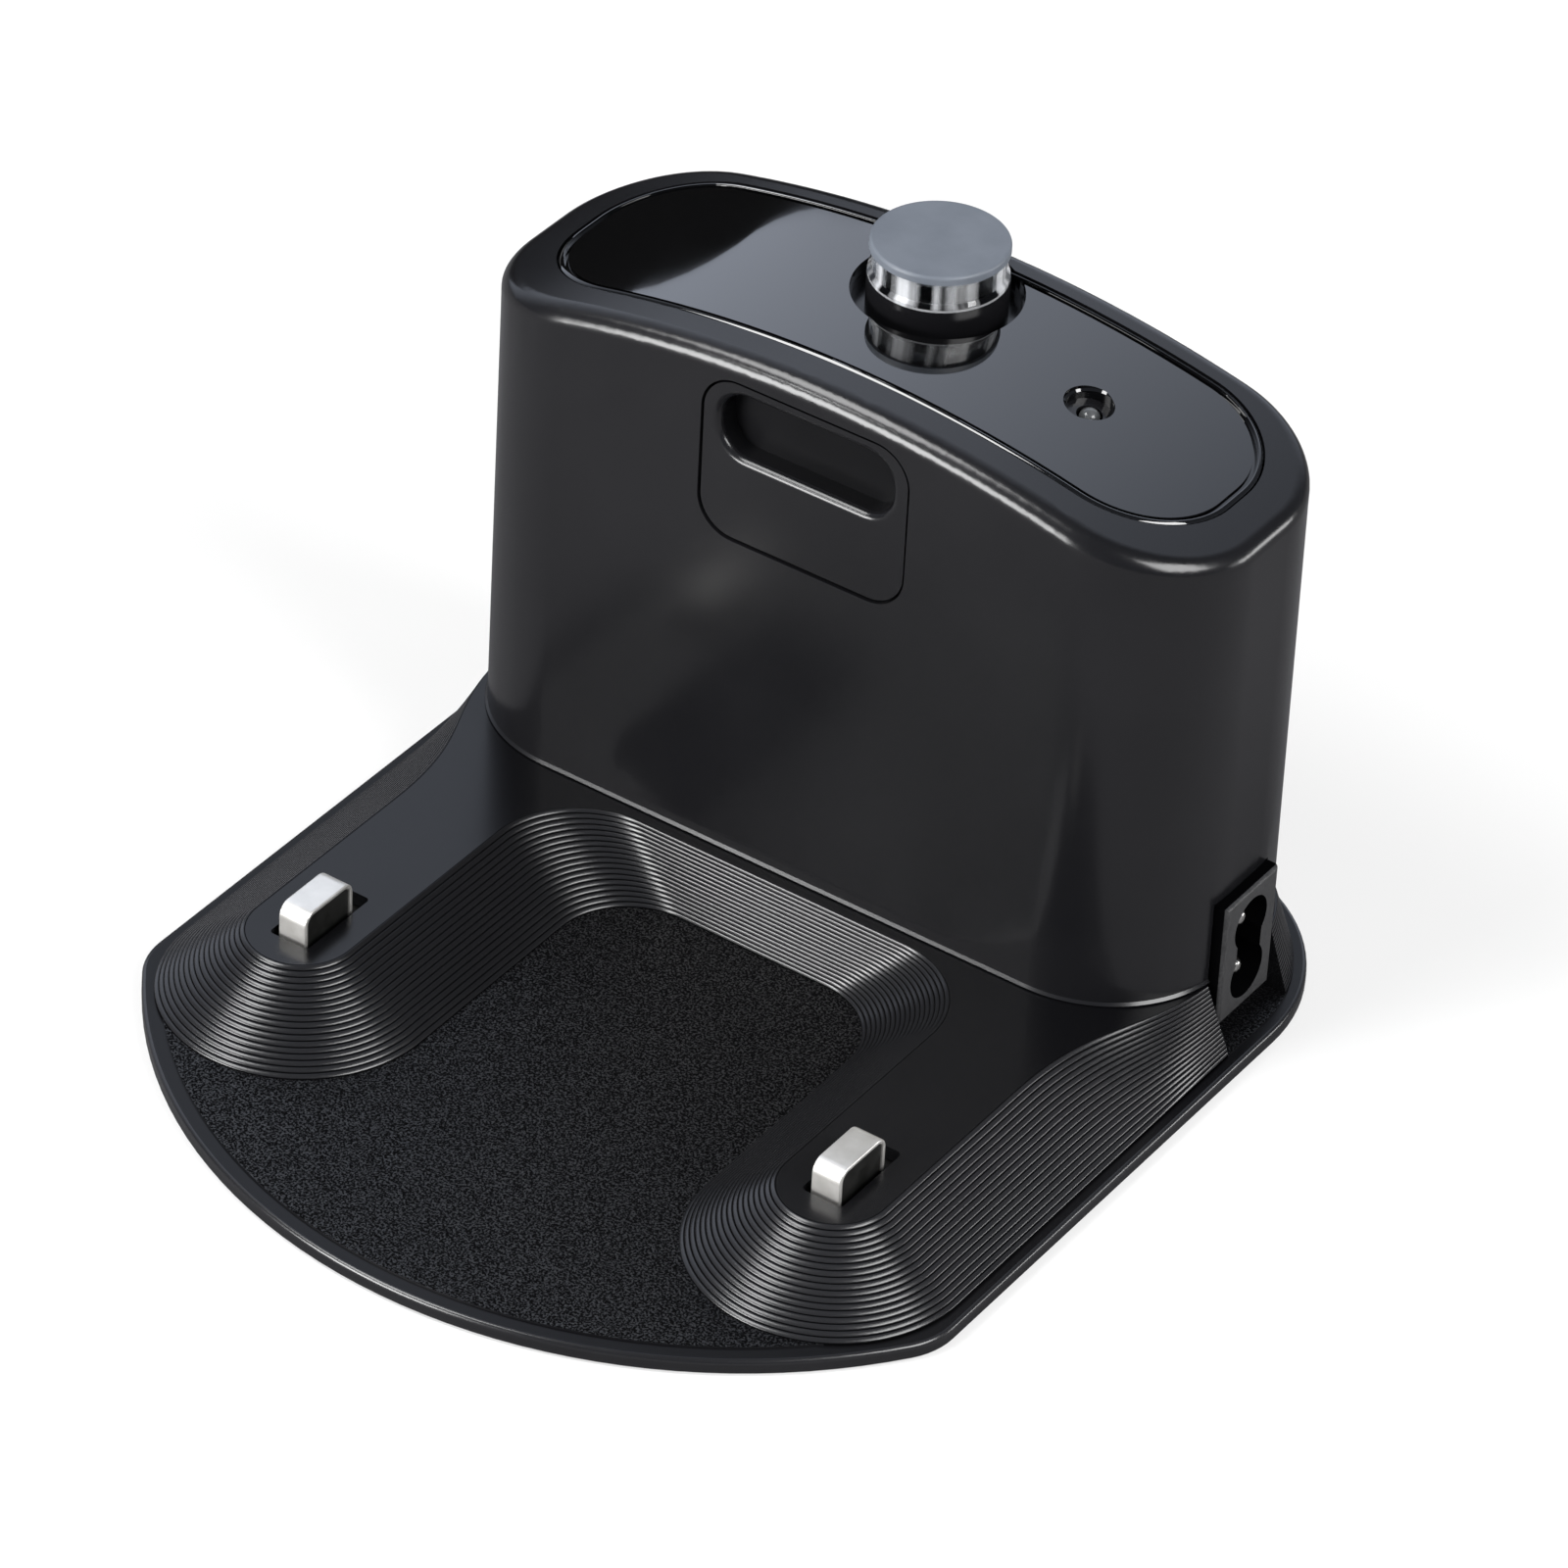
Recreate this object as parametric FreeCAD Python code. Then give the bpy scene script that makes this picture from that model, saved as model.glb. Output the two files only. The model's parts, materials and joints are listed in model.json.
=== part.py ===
import FreeCAD, Part
import math
import os

# Charging dock of a robot vacuum cleaner, in millimetres.
# X is to the dock's right seen from the front, Y runs to the back, Z is up.
# The origin is under the middle of the base, on the surface it stands on.

V = FreeCAD.Vector

# Base plate
base_width = 134.8
base_depth = 150.0
front_radius = 80.7
front_corner = 11.0
rear_corner = 30.5
foot_gap = 0.6
border_thickness = 2.1
border_width = 2.6
floor_step = 0.3
border_round = 0.7

# Raised U with ribbed slopes
contact_inset = 22.4
contact_setback = 47.4
plateau_rise = 10.2
rib_count = 18
arm_top_half = 7.9
nose_lead = 4.0
slope_border = 1.9
cross_ledge = 2.4
cross_run = 3.7
inner_foot_corner = 12.0
inner_top_corner = 14.0
flare_lead = 19.3
flare_tail = 22.7
tower_ledge = 0.6
deck_thickness = 2.2
base_wall = 2.6
deck_margin_side = 19.0
deck_margin_front = 8.7
deck_margin_rear = 8.7
deck_hole_corner = 3.0

# Tower
tower_rear_margin = 8.3
tower_side_margin = 6.4
tower_depth = 47.0
tower_height = 82.4
tower_corner = 19.5
tower_wall = 2.2
tower_draft = 0.6
crown_radius = 184.0
top_round = 3.0
top_deck = 2.4
tower_boss_radius = 3.6
tower_boss_inset = 4.0
tower_boss_height = 14.0
seam_gap = 0.25
seam_height = 0.4
seam_reach = 0.35
seam_inset = 0.5

# Top panel
panel_side_margin = 6.2
panel_front_margin = 6.7
panel_rear_margin = 4.6
panel_corner = 15.1
panel_recess = 2.0
panel_thickness = 1.8
panel_gap = 0.35
lip_width = 0.7
lip_groove = 0.6
groove_depth = 0.6

# Beacon dome
dome_rear_offset = 15.4
dome_height = 8.0
cap_radius = 9.8
cap_thickness = 1.3
cap_round = 0.5
cap_plug = 1.0
lens_radius = 9.3
lens_wall = 1.3
lens_flange = 0.5
lens_flange_height = 0.6
collar_rise = 2.3
collar_radius = 9.9
collar_wall = 1.5
collar_floor = 1.2
moat_radius = 11.8
moat_depth = 3.6
moat_wall = 1.6
emitter_hole = 6.4
emitter_radius = 2.5
emitter_rise = 1.9
reflector_height = 1.2
reflector_rim = 0.4
reflector_tip = 0.5

# Indicator
led_offset = 29.9
led_radius = 1.5
led_flange = 0.4
led_sink_radius = 3.4
led_edge = 0.3
led_show = 0.9
led_hole_gap = 0.35

# Top board
board_thickness = 1.6
top_board_drop = 8.6
top_board_left = 13.0
top_board_right = 36.5
top_board_front = 12.6
top_board_rear = 9.2
board_corner = 2.0
board_boss_radius = 2.4
board_boss_edge = 3.6
board_screw_radius = 0.9
board_screw_head = 2.0
board_screw_length = 4.4

# Front window
window_width = 33.6
window_height = 25.3
window_corner = 5.5
window_drop = 4.5
window_gap = 0.4
window_sink = 0.1
window_flange = 1.6
window_flange_thickness = 1.2
pocket_width = 30.6
pocket_height = 12.3
pocket_drop = 0.7
pocket_corner = 5.6
pocket_depth = 3.8
pocket_round = 1.1
pocket_wall = 1.4
window_board_width = 22.0
window_board_height = 10.0
window_emitter_radius = 2.5
window_emitter_length = 4.2

# Mains inlet
inlet_width = 13.3
inlet_height = 20.5
inlet_proud = 1.85
inlet_depth = 19.0
inlet_lift = 3.1
notch_front = 0.95
notch_rear = 2.45
notch_inset = 0.4
inlet_round = 0.8
inlet_gap = 0.25
socket_radius = 4.1
socket_waist = 6.2
socket_depth = 12.0
pin_pitch = 8.6
pin_radius = 1.2
pin_length = 10.8
pin_tail = 4.0
pin_tail_radius = 0.8
pin_tip_round = 1.0

# Spring contacts
strip_width = 4.7
strip_thickness = 0.7
tab_length = 10.8
tab_rise = 4.6
tab_bend = 2.0
tab_offset = -0.9
toe_lap = 0.9
core_inset = 0.35
stop_gap = 0.3
slot_width = 6.6
slot_length = 14.4
slot_corner = 0.7
spring_radius = 2.1
spring_wire = 0.3
spring_turns = 5
spring_end_gap = 0.05
spring_post_radius = 3.0
spring_pin_radius = 1.3
spring_pin_height = 2.6
spring_seat_height = 1.6

# Bottom cover and fixings
cover_thickness = 1.8
cover_lap = 1.4
cover_gap = 0.3
screw_radius = 1.15
screw_play = 0.1
screw_head_radius = 2.6
screw_head_height = 1.4
screw_length = 7.6
screw_boss_radius = 3.2
arm_screw_back = 24.0
tower_screw_bite = 8.0
foot_pad_radius = 5.0
foot_pad_sink = 1.0
foot_pad_front_in = 17.0
foot_pad_front_back = 31.0
foot_pad_rear_in = 16.0
foot_pad_rear_front = 9.0

# Power supply board
main_board_width = 72.0
main_board_top = 58.0
main_board_setback = 31.0
guide_width = 4.0
guide_thickness = 1.6
guide_height = 6.0
guide_gap = 0.15
guide_edge = 5.0
core_width = 24.0
core_height = 20.0
core_depth = 9.0
bobbin_width = 17.0
bobbin_height = 14.0
bobbin_depth = 16.0
core_round = 1.0
transformer_x = -14.0
transformer_z = 32.0
capacitor_radius = 5.0
capacitor_length = 18.0
capacitor_x = 16.0
capacitor_low = 24.0
capacitor_rise = 15.0

# Levels and stations that follow from the sizes above
half_width = base_width / 2
front_y = -base_depth / 2
rear_y = base_depth / 2
base_bottom = foot_gap
border_top = base_bottom + border_thickness
floor_top = border_top + floor_step
plateau = floor_top + plateau_rise
deck_under = plateau - deck_thickness
cover_top = base_bottom + cover_thickness
contact_y = front_y + contact_setback
arm_x = half_width - contact_inset
arm_foot_half = contact_inset - slope_border
tower_rear = rear_y - tower_rear_margin
tower_front = tower_rear - tower_depth
tower_half = half_width - tower_side_margin
crown_top = plateau + tower_height
seam_low = plateau + seam_gap
seam_top = seam_low + seam_height
panel_front = tower_front + tower_draft + panel_front_margin
panel_rear = tower_rear - tower_draft - panel_rear_margin
panel_half = tower_half - tower_draft - panel_side_margin
panel_mid = (panel_front + panel_rear) / 2
dome_y = tower_rear - dome_rear_offset
moat_floor = crown_top - moat_depth
collar_top = crown_top + collar_rise
cap_top = crown_top + dome_height
cap_under = cap_top - cap_thickness
top_board_face = crown_top - top_board_drop
inlet_y = (tower_front + tower_rear) / 2
inlet_z = plateau + inlet_lift
inlet_face = tower_half + inlet_proud
tab_top = plateau + tab_rise
spring_seat = cover_top + spring_seat_height
core_bottom = deck_under - stop_gap - strip_thickness
spring_top = core_bottom


def lerp(a, b, t):
    return a + (b - a) * t


def line(a, b):
    return Part.LineSegment(V(a[0], a[1], 0), V(b[0], b[1], 0)).toShape()


def polar(centre, radius, degrees):
    angle = math.radians(degrees)
    return (centre[0] + radius * math.cos(angle), centre[1] + radius * math.sin(angle))


def arc(centre, radius, start, end):
    points = [polar(centre, radius, d) for d in (start, (start + end) / 2, end)]
    a, m, b = [V(p[0], p[1], 0) for p in points]
    return Part.Arc(a, m, b).toShape()


def s_curve(a, b):
    middle = (a[1] + b[1]) / 2
    curve = Part.BezierCurve()
    curve.setPoles([V(a[0], a[1], 0), V(a[0], middle, 0), V(b[0], middle, 0), V(b[0], b[1], 0)])
    return curve.toShape()


def raised(shape, z):
    copy = shape.copy()
    copy.translate(V(0, 0, z))
    return copy


def prism(wire, low, high):
    return Part.Face(raised(wire, low)).extrude(V(0, 0, high - low))


def disc(x, y, radius, low, high):
    return Part.makeCylinder(radius, high - low, V(x, y, low), V(0, 0, 1))


def revolved(profile, x, y):
    points = [V(r, 0, z) for r, z in profile]
    face = Part.Face(Part.makePolygon(points + [points[0]]))
    solid = face.revolve(V(0, 0, 0), V(0, 0, 1), 360)
    solid.translate(V(x, y, 0))
    return solid


def rounded_rectangle(x0, x1, y0, y1, radius):
    edges = [line((x0 + radius, y0), (x1 - radius, y0))]
    edges.append(arc((x1 - radius, y0 + radius), radius, -90, 0))
    edges.append(line((x1, y0 + radius), (x1, y1 - radius)))
    edges.append(arc((x1 - radius, y1 - radius), radius, 0, 90))
    edges.append(line((x1 - radius, y1), (x0 + radius, y1)))
    edges.append(arc((x0 + radius, y1 - radius), radius, 90, 180))
    edges.append(line((x0, y1 - radius), (x0, y0 + radius)))
    edges.append(arc((x0 + radius, y0 + radius), radius, 180, 270))
    return Part.Wire(edges)


def stand_up(shape, y):
    # Turns a shape drawn in X and Y so that its Y becomes height, facing the front at the given y.
    copy = shape.copy()
    copy.rotate(V(0, 0, 0), V(1, 0, 0), 90)
    copy.translate(V(0, y, 0))
    return copy


def upright_prism(wire, y_front, y_back):
    return Part.Face(stand_up(wire, y_front)).extrude(V(0, y_back - y_front, 0))


def plate_outline(inset):
    # Wide front arc, rounded front corners, straight sides and large rear corners.
    w = half_width - inset
    big = front_radius - inset
    small = front_corner - inset
    back = rear_corner - inset
    y_back = rear_y - inset
    centre_y = front_y + front_radius
    reach = math.sqrt((big - small) ** 2 - (w - small) ** 2)
    corner = (w - small, centre_y - reach)
    turn = math.degrees(math.atan2(-reach, w - small))
    edges = [arc((0, centre_y), big, -180 - turn, turn)]
    edges.append(arc(corner, small, turn, 0))
    edges.append(line((w, corner[1]), (w, y_back - back)))
    edges.append(arc((w - back, y_back - back), back, 0, 90))
    edges.append(line((w - back, y_back), (back - w, y_back)))
    edges.append(arc((back - w, y_back - back), back, 90, 180))
    edges.append(line((-w, y_back - back), (-w, corner[1])))
    edges.append(arc((-corner[0], corner[1]), small, 180, 180 - turn))
    return Part.Wire(edges)


def u_outline(t, inset):
    # Outline of the raised U at a share t of the way up its slopes, drawn in by an inset.
    half = lerp(arm_foot_half, arm_top_half, t) - inset
    nose_y = contact_y - nose_lead
    x_out = arm_x + half
    x_in = arm_x - half
    x_end = lerp(half_width - slope_border, tower_half + tower_ledge, t) - inset
    y_back = lerp(rear_y - slope_border, tower_rear + tower_ledge, t) - inset
    back = lerp(rear_corner - slope_border, tower_corner + tower_ledge, t) - inset
    y_cross = tower_front - cross_ledge - cross_run * (1 - t) + inset
    inner = lerp(inner_foot_corner, inner_top_corner, t) + inset
    flare_low = tower_front - flare_lead
    flare_high = tower_front + flare_tail
    edges = [arc((arm_x, nose_y), half, 180, 360)]
    edges.append(line((x_out, nose_y), (x_out, flare_low)))
    edges.append(s_curve((x_out, flare_low), (x_end, flare_high)))
    edges.append(line((x_end, flare_high), (x_end, y_back - back)))
    edges.append(arc((x_end - back, y_back - back), back, 0, 90))
    edges.append(line((x_end - back, y_back), (back - x_end, y_back)))
    edges.append(arc((back - x_end, y_back - back), back, 90, 180))
    edges.append(line((-x_end, y_back - back), (-x_end, flare_high)))
    edges.append(s_curve((-x_end, flare_high), (-x_out, flare_low)))
    edges.append(line((-x_out, flare_low), (-x_out, nose_y)))
    edges.append(arc((-arm_x, nose_y), half, 180, 360))
    edges.append(line((-x_in, nose_y), (-x_in, y_cross - inner)))
    edges.append(arc((inner - x_in, y_cross - inner), inner, 180, 90))
    edges.append(line((inner - x_in, y_cross), (x_in - inner, y_cross)))
    edges.append(arc((x_in - inner, y_cross - inner), inner, 90, 0))
    edges.append(line((x_in, y_cross - inner), (x_in, nose_y)))
    return Part.Wire(edges)


def tower_outline(inset):
    x = tower_half - inset
    return rounded_rectangle(-x, x, tower_front + inset, tower_rear - inset, tower_corner - inset)


def panel_outline(inset):
    x = panel_half - inset
    return rounded_rectangle(-x, x, panel_front + inset, panel_rear - inset, panel_corner - inset)


def tower_loft(inset, low, high):
    # Walls lean inwards a little as they rise.
    wires = []
    for z in (low, high):
        lean = tower_draft * (z - plateau) / tower_height
        wires.append(raised(tower_outline(inset + lean), z))
    return Part.makeLoft(wires, True, True)


def crown(depth):
    # Everything below the crowned top, lowered by a depth.
    start = V(0, front_y, crown_top - crown_radius)
    return Part.makeCylinder(crown_radius - depth, base_depth, start, V(0, 1, 0))


def crown_z(x):
    return crown_top - crown_radius + math.sqrt(crown_radius ** 2 - x ** 2)


def stations(points, maker):
    return Part.makeCompound([maker(x, y) for x, y in points])


def bottom_screw_points():
    # One under each arm, one under the crosspiece and one behind the tower.
    arm_y = contact_y + arm_screw_back
    front = tower_front - cross_ledge + base_wall + screw_boss_radius + cover_gap
    # The rear boss grows out of the wall behind it.
    rear = tower_rear + tower_ledge - base_wall * 0.75 - screw_boss_radius
    return [(-arm_x, arm_y), (arm_x, arm_y), (0, front), (0, rear)]


def tower_screw_points():
    reach = (tower_corner - tower_boss_inset) / math.sqrt(2)
    x = tower_half - tower_corner + reach
    front = tower_front + tower_corner - reach
    rear = tower_rear - tower_corner + reach
    return [(-x, front), (x, front), (-x, rear), (x, rear)]


def front_pad_points():
    x = half_width - foot_pad_front_in
    y = front_y + foot_pad_front_back
    return [(-x, y), (x, y)]


def rear_pad_points():
    x = tower_half - foot_pad_rear_in
    y = tower_rear - foot_pad_rear_front
    return [(-x, y), (x, y)]


def pad_seats(points):
    # Shallow round seats for the pads.
    wide = foot_pad_radius + cover_gap
    return stations(points, lambda x, y: disc(x, y, wide, base_bottom, base_bottom + foot_pad_sink))


def board_screw_points():
    left = -top_board_left + board_boss_edge
    right = top_board_right - board_boss_edge
    front = dome_y - top_board_front + board_boss_edge
    rear = dome_y + top_board_rear - board_boss_edge
    return [(left, front), (left, rear), (right, rear)]


def inlet_block(gap, tail):
    # The inlet's own block, or with a gap and a tail the passage that it and its pins need.
    y0 = inlet_y - inlet_width / 2 - gap
    z0 = inlet_z - inlet_height / 2 - gap
    x0 = inlet_face - inlet_depth - tail
    length = inlet_depth + tail + gap
    return Part.makeBox(length, inlet_width + 2 * gap, inlet_height + 2 * gap, V(x0, y0, z0))


def window_outline(gap):
    half = window_width / 2 + gap
    high = crown_top - window_drop + gap
    low = crown_top - window_drop - window_height - gap
    return rounded_rectangle(-half, half, low, high, window_corner + gap)


def pocket_outline(grow):
    half = pocket_width / 2 + grow
    high = crown_top - window_drop - pocket_drop + grow
    low = high - pocket_height - 2 * grow
    return rounded_rectangle(-half, half, low, high, pocket_corner + grow)


def base_cover():
    plate = prism(plate_outline(0), base_bottom, border_top)
    rim = [e for e in plate.Edges if e.BoundBox.ZMin > border_top - 0.01]
    plate = plate.makeFillet(border_round, rim)
    solids = [prism(plate_outline(border_width), border_top, floor_top)]
    pitch = plateau_rise / rib_count
    for k in range(rib_count):
        low = floor_top + k * pitch
        # The first rib also reaches down to the border outside the floor.
        start = low if k else border_top
        solids.append(prism(u_outline(k / (rib_count - 1), 0), start, low + pitch))
    body = plate.multiFuse(solids)
    # Notch in the slope that lets a plug reach the inlet.
    notch_x = tower_half - notch_inset
    notch_y = inlet_y - inlet_width / 2 - notch_front
    notch_length = inlet_width + notch_front + notch_rear
    body = body.cut(Part.makeBox(half_width - notch_x, notch_length, plateau_rise, V(notch_x, notch_y, floor_top)))
    # Hollow under the raised U, open into the tower and closed from below.
    body = body.cut(prism(u_outline(1, base_wall), base_bottom, deck_under))
    body = body.cut(prism(u_outline(1, base_wall - cover_lap), base_bottom, cover_top))
    hole_x = tower_half - deck_margin_side
    hole = rounded_rectangle(-hole_x, hole_x, tower_front + deck_margin_front, tower_rear - deck_margin_rear,
                             deck_hole_corner)
    body = body.cut(prism(hole, deck_under, plateau))
    # Slots of the contacts.
    slots = []
    for side in (-1, 1):
        x = side * arm_x
        y0 = contact_y - slot_length / 2
        wire = rounded_rectangle(x - slot_width / 2, x + slot_width / 2, y0, y0 + slot_length, slot_corner)
        slots.append(prism(wire, deck_under, plateau))
    body = body.cut(Part.makeCompound(slots))
    # Bosses of the bottom screws, holes of the tower screws and seats of the pads.
    bosses = [disc(x, y, screw_boss_radius, cover_top, deck_under) for x, y in bottom_screw_points()]
    body = body.multiFuse(bosses)
    hole_radius = screw_radius + screw_play
    pilot_top = base_bottom + screw_length + screw_play
    body = body.cut(stations(bottom_screw_points(), lambda x, y: disc(x, y, hole_radius, cover_top, pilot_top)))
    body = body.cut(stations(tower_screw_points(), lambda x, y: disc(x, y, hole_radius, deck_under, plateau)))
    access = screw_head_radius + cover_gap
    body = body.cut(stations(tower_screw_points(), lambda x, y: disc(x, y, access, cover_top, deck_under)))
    body = body.cut(pad_seats(front_pad_points()))
    return body.cut(inlet_block(inlet_gap, pin_tail + inlet_gap))


def tower_shell():
    body = tower_loft(0, seam_top, crown_top + top_round).common(crown(0))
    edges = [e for e in body.Edges if e.BoundBox.ZMin > plateau + tower_height / 2]
    body = body.makeFillet(top_round, edges)
    # A fine skirt round the foot stands over a shadow gap.
    lean = tower_draft * (seam_top - plateau) / tower_height
    wires = [raised(tower_outline(-seam_reach), seam_low), raised(tower_outline(lean), seam_top)]
    skirt = Part.makeLoft(wires, True, True)
    body = body.multiFuse([skirt, prism(tower_outline(seam_inset), plateau, seam_low)])
    body = body.cut(tower_loft(tower_wall, plateau, crown_top).common(crown(panel_recess + top_deck)))
    # Well of the beacon and bosses for the screws, all inside the walls.
    inside = tower_loft(tower_wall / 2, plateau, crown_top).common(crown(panel_recess + top_deck / 2))
    well = disc(0, dome_y, moat_radius + moat_wall, moat_floor - moat_wall, crown_top)
    bosses = [well]
    for x, y in tower_screw_points():
        bosses.append(disc(x, y, tower_boss_radius, plateau, plateau + tower_boss_height))
    for x, y in board_screw_points():
        bosses.append(disc(x, y, board_boss_radius, top_board_face, crown_top))
    body = body.multiFuse([b.common(inside) for b in bosses])
    # Recess of the panel follows the crown.
    recess = prism(panel_outline(0), crown_top - tower_height / 2, crown_top + top_round)
    body = body.cut(recess.cut(crown(panel_recess)))
    body = body.cut(disc(0, dome_y, moat_radius, moat_floor, crown_top + top_round))
    body = body.cut(disc(0, dome_y, emitter_hole, moat_floor - moat_wall, moat_floor))
    led_hole = led_radius + led_hole_gap
    body = body.cut(disc(led_offset, panel_mid, led_hole, top_board_face, crown_top))
    # Screw holes.
    hole_radius = screw_radius + screw_play
    tower_hole_top = plateau + tower_screw_bite + screw_play
    body = body.cut(stations(tower_screw_points(), lambda x, y: disc(x, y, hole_radius, plateau, tower_hole_top)))
    thin = board_screw_radius + screw_play
    depth = board_screw_length - board_thickness + screw_play
    face = top_board_face
    body = body.cut(stations(board_screw_points(), lambda x, y: disc(x, y, thin, face, face + depth)))
    # Openings of the window and the inlet.
    wall_back = tower_front + tower_draft + window_sink + pocket_depth + pocket_wall + window_gap
    body = body.cut(upright_prism(window_outline(window_gap), tower_front - top_round, wall_back))
    return body.cut(inlet_block(inlet_gap, pin_tail + inlet_gap))


def top_panel():
    body = prism(panel_outline(panel_gap), crown_top - tower_height / 2, crown_top + top_round)
    body = body.common(crown(panel_recess - panel_thickness)).cut(crown(panel_recess))
    # Groove behind the lip.
    outer = prism(panel_outline(panel_gap + lip_width), crown_top - tower_height / 2, crown_top)
    inner = prism(panel_outline(panel_gap + lip_width + lip_groove), crown_top - tower_height / 2, crown_top)
    body = body.cut(outer.cut(inner).cut(crown(panel_recess - panel_thickness + groove_depth)))
    body = body.cut(disc(0, dome_y, moat_radius + panel_gap, moat_floor, crown_top + top_round))
    # Hole of the indicator, with a chamfered edge.
    face = crown_z(led_offset) - panel_recess + panel_thickness
    wide = led_sink_radius + led_edge
    sink = [(0, face - panel_recess - 1), (led_sink_radius, face - panel_recess - 1), (led_sink_radius, face - led_edge)]
    sink = sink + [(wide, face), (wide, face + 1), (0, face + 1)]
    return body.cut(revolved(sink, led_offset, panel_mid))


def dome_cap():
    plug = lens_radius - lens_wall - cover_gap
    body = disc(0, dome_y, cap_radius, cap_under, cap_top)
    edges = [e for e in body.Edges if e.BoundBox.ZMin > cap_top - 0.01]
    body = body.makeFillet(cap_round, edges)
    return body.fuse(disc(0, dome_y, plug, cap_under - cap_plug, cap_under))


def dome_collar():
    # Dark cup that carries the clear ring, with a hole for the emitter.
    hole = emitter_radius + led_hole_gap
    inside = collar_radius - collar_wall
    under = collar_top - collar_floor
    profile = [(hole, under), (hole, collar_top), (collar_radius, collar_top), (collar_radius, moat_floor)]
    return revolved(profile + [(inside, moat_floor), (inside, under)], 0, dome_y)


def dome_lens():
    # Clear ring with a flange round its foot.
    inside = lens_radius - lens_wall
    wide = lens_radius + lens_flange
    flange_top = collar_top + lens_flange_height
    profile = [(inside, collar_top), (wide, collar_top), (wide, flange_top)]
    profile = profile + [(lens_radius, flange_top + lens_flange), (lens_radius, cap_under), (inside, cap_under)]
    return revolved(profile, 0, dome_y)


def dome_reflector():
    top = cap_under - cap_plug
    wide = lens_radius - lens_wall - cover_gap
    low = top - reflector_height
    profile = [(0, low), (reflector_tip, low), (wide * 0.45, top - reflector_height * 0.42)]
    profile = profile + [(wide, top - reflector_rim), (wide, top), (0, top)]
    return revolved(profile, 0, dome_y)


def dome_emitter():
    shoulder = collar_top + emitter_rise - emitter_radius
    body = disc(0, dome_y, emitter_radius, top_board_face, shoulder)
    ball = Part.makeSphere(emitter_radius, V(0, dome_y, shoulder))
    return body.fuse(ball.common(disc(0, dome_y, emitter_radius + 1, shoulder, shoulder + emitter_radius + 1)))


def power_led():
    tip = crown_z(led_offset) - panel_recess + led_show
    shoulder = tip - led_radius
    body = disc(led_offset, panel_mid, led_radius, top_board_face, shoulder)
    flange = disc(led_offset, panel_mid, led_radius + led_flange, top_board_face, top_board_face + led_flange)
    ball = Part.makeSphere(led_radius, V(led_offset, panel_mid, shoulder))
    cap = ball.common(disc(led_offset, panel_mid, led_radius + 1, shoulder, tip + 1))
    return body.multiFuse([flange, cap])


def top_board():
    low = top_board_face - board_thickness
    front = dome_y - top_board_front
    rear = dome_y + top_board_rear
    body = prism(rounded_rectangle(-top_board_left, top_board_right, front, rear, board_corner), low, top_board_face)
    thin = board_screw_radius + screw_play
    return body.cut(stations(board_screw_points(), lambda x, y: disc(x, y, thin, low, top_board_face)))


def board_screws():
    under = top_board_face - board_thickness
    head = under - board_screw_head * 0.6

    def screw(x, y):
        shank = disc(x, y, board_screw_radius, under, under + board_screw_length)
        return shank.fuse(disc(x, y, board_screw_head, head, under))

    return stations(board_screw_points(), screw)


def window_panel():
    back = tower_front + tower_draft + tower_wall
    face = tower_front + tower_draft + window_sink
    body = upright_prism(window_outline(0), face, back)
    flange = upright_prism(window_outline(window_flange), back + window_gap, back + window_flange_thickness)
    # The flange stops short of the deck under the crown.
    flange = flange.common(crown(panel_recess + top_deck + window_gap))
    neck = upright_prism(window_outline(0), back, back + window_flange_thickness)
    housing_back = face + pocket_depth + pocket_wall
    housing = upright_prism(pocket_outline(pocket_wall), face, housing_back)
    housing = housing.common(upright_prism(window_outline(0), face, housing_back))
    body = body.multiFuse([flange, neck, housing])
    # Pocket with a rounded rim.
    body = body.cut(upright_prism(pocket_outline(-pocket_round), face, face + pocket_depth))
    high = crown_top - window_drop - pocket_drop
    low = high - pocket_height
    rim = [e for e in body.Edges if e.BoundBox.YMax < face + 0.01 and abs(e.CenterOfMass.x) < pocket_width / 2]
    rim = [e for e in rim if low < e.CenterOfMass.z < high]
    return body.makeFillet(pocket_round, rim)


def window_board():
    y = tower_front + tower_draft + window_sink + pocket_depth + pocket_wall + window_emitter_length
    z = crown_top - window_drop - pocket_drop - pocket_height / 2
    half = window_board_width / 2
    tall = window_board_height / 2
    wire = rounded_rectangle(-half, half, z - tall, z + tall, board_corner)
    return upright_prism(wire, y, y + board_thickness)


def window_emitter():
    y = tower_front + tower_draft + window_sink + pocket_depth + pocket_wall
    z = crown_top - window_drop - pocket_drop - pocket_height / 2
    return Part.makeCylinder(window_emitter_radius, window_emitter_length, V(0, y, z), V(0, 1, 0))


def inlet_body():
    body = inlet_block(0, 0)
    face_edges = [e for e in body.Edges if e.BoundBox.XMin > inlet_face - 0.01]
    body = body.makeFillet(inlet_round, face_edges)
    # Figure-8 socket.
    x0 = inlet_face - socket_depth
    cuts = []
    for side in (-1, 1):
        centre = V(x0, inlet_y, inlet_z + side * pin_pitch / 2)
        cuts.append(Part.makeCylinder(socket_radius, socket_depth + 1, centre, V(1, 0, 0)))
    waist = V(x0, inlet_y - socket_waist / 2, inlet_z - pin_pitch / 2)
    cuts.append(Part.makeBox(socket_depth + 1, socket_waist, pin_pitch, waist))
    body = body.cut(cuts[0].multiFuse(cuts[1:]))
    return body.cut(Part.makeCompound([pin_tail_rod(side) for side in (-1, 1)]))


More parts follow.
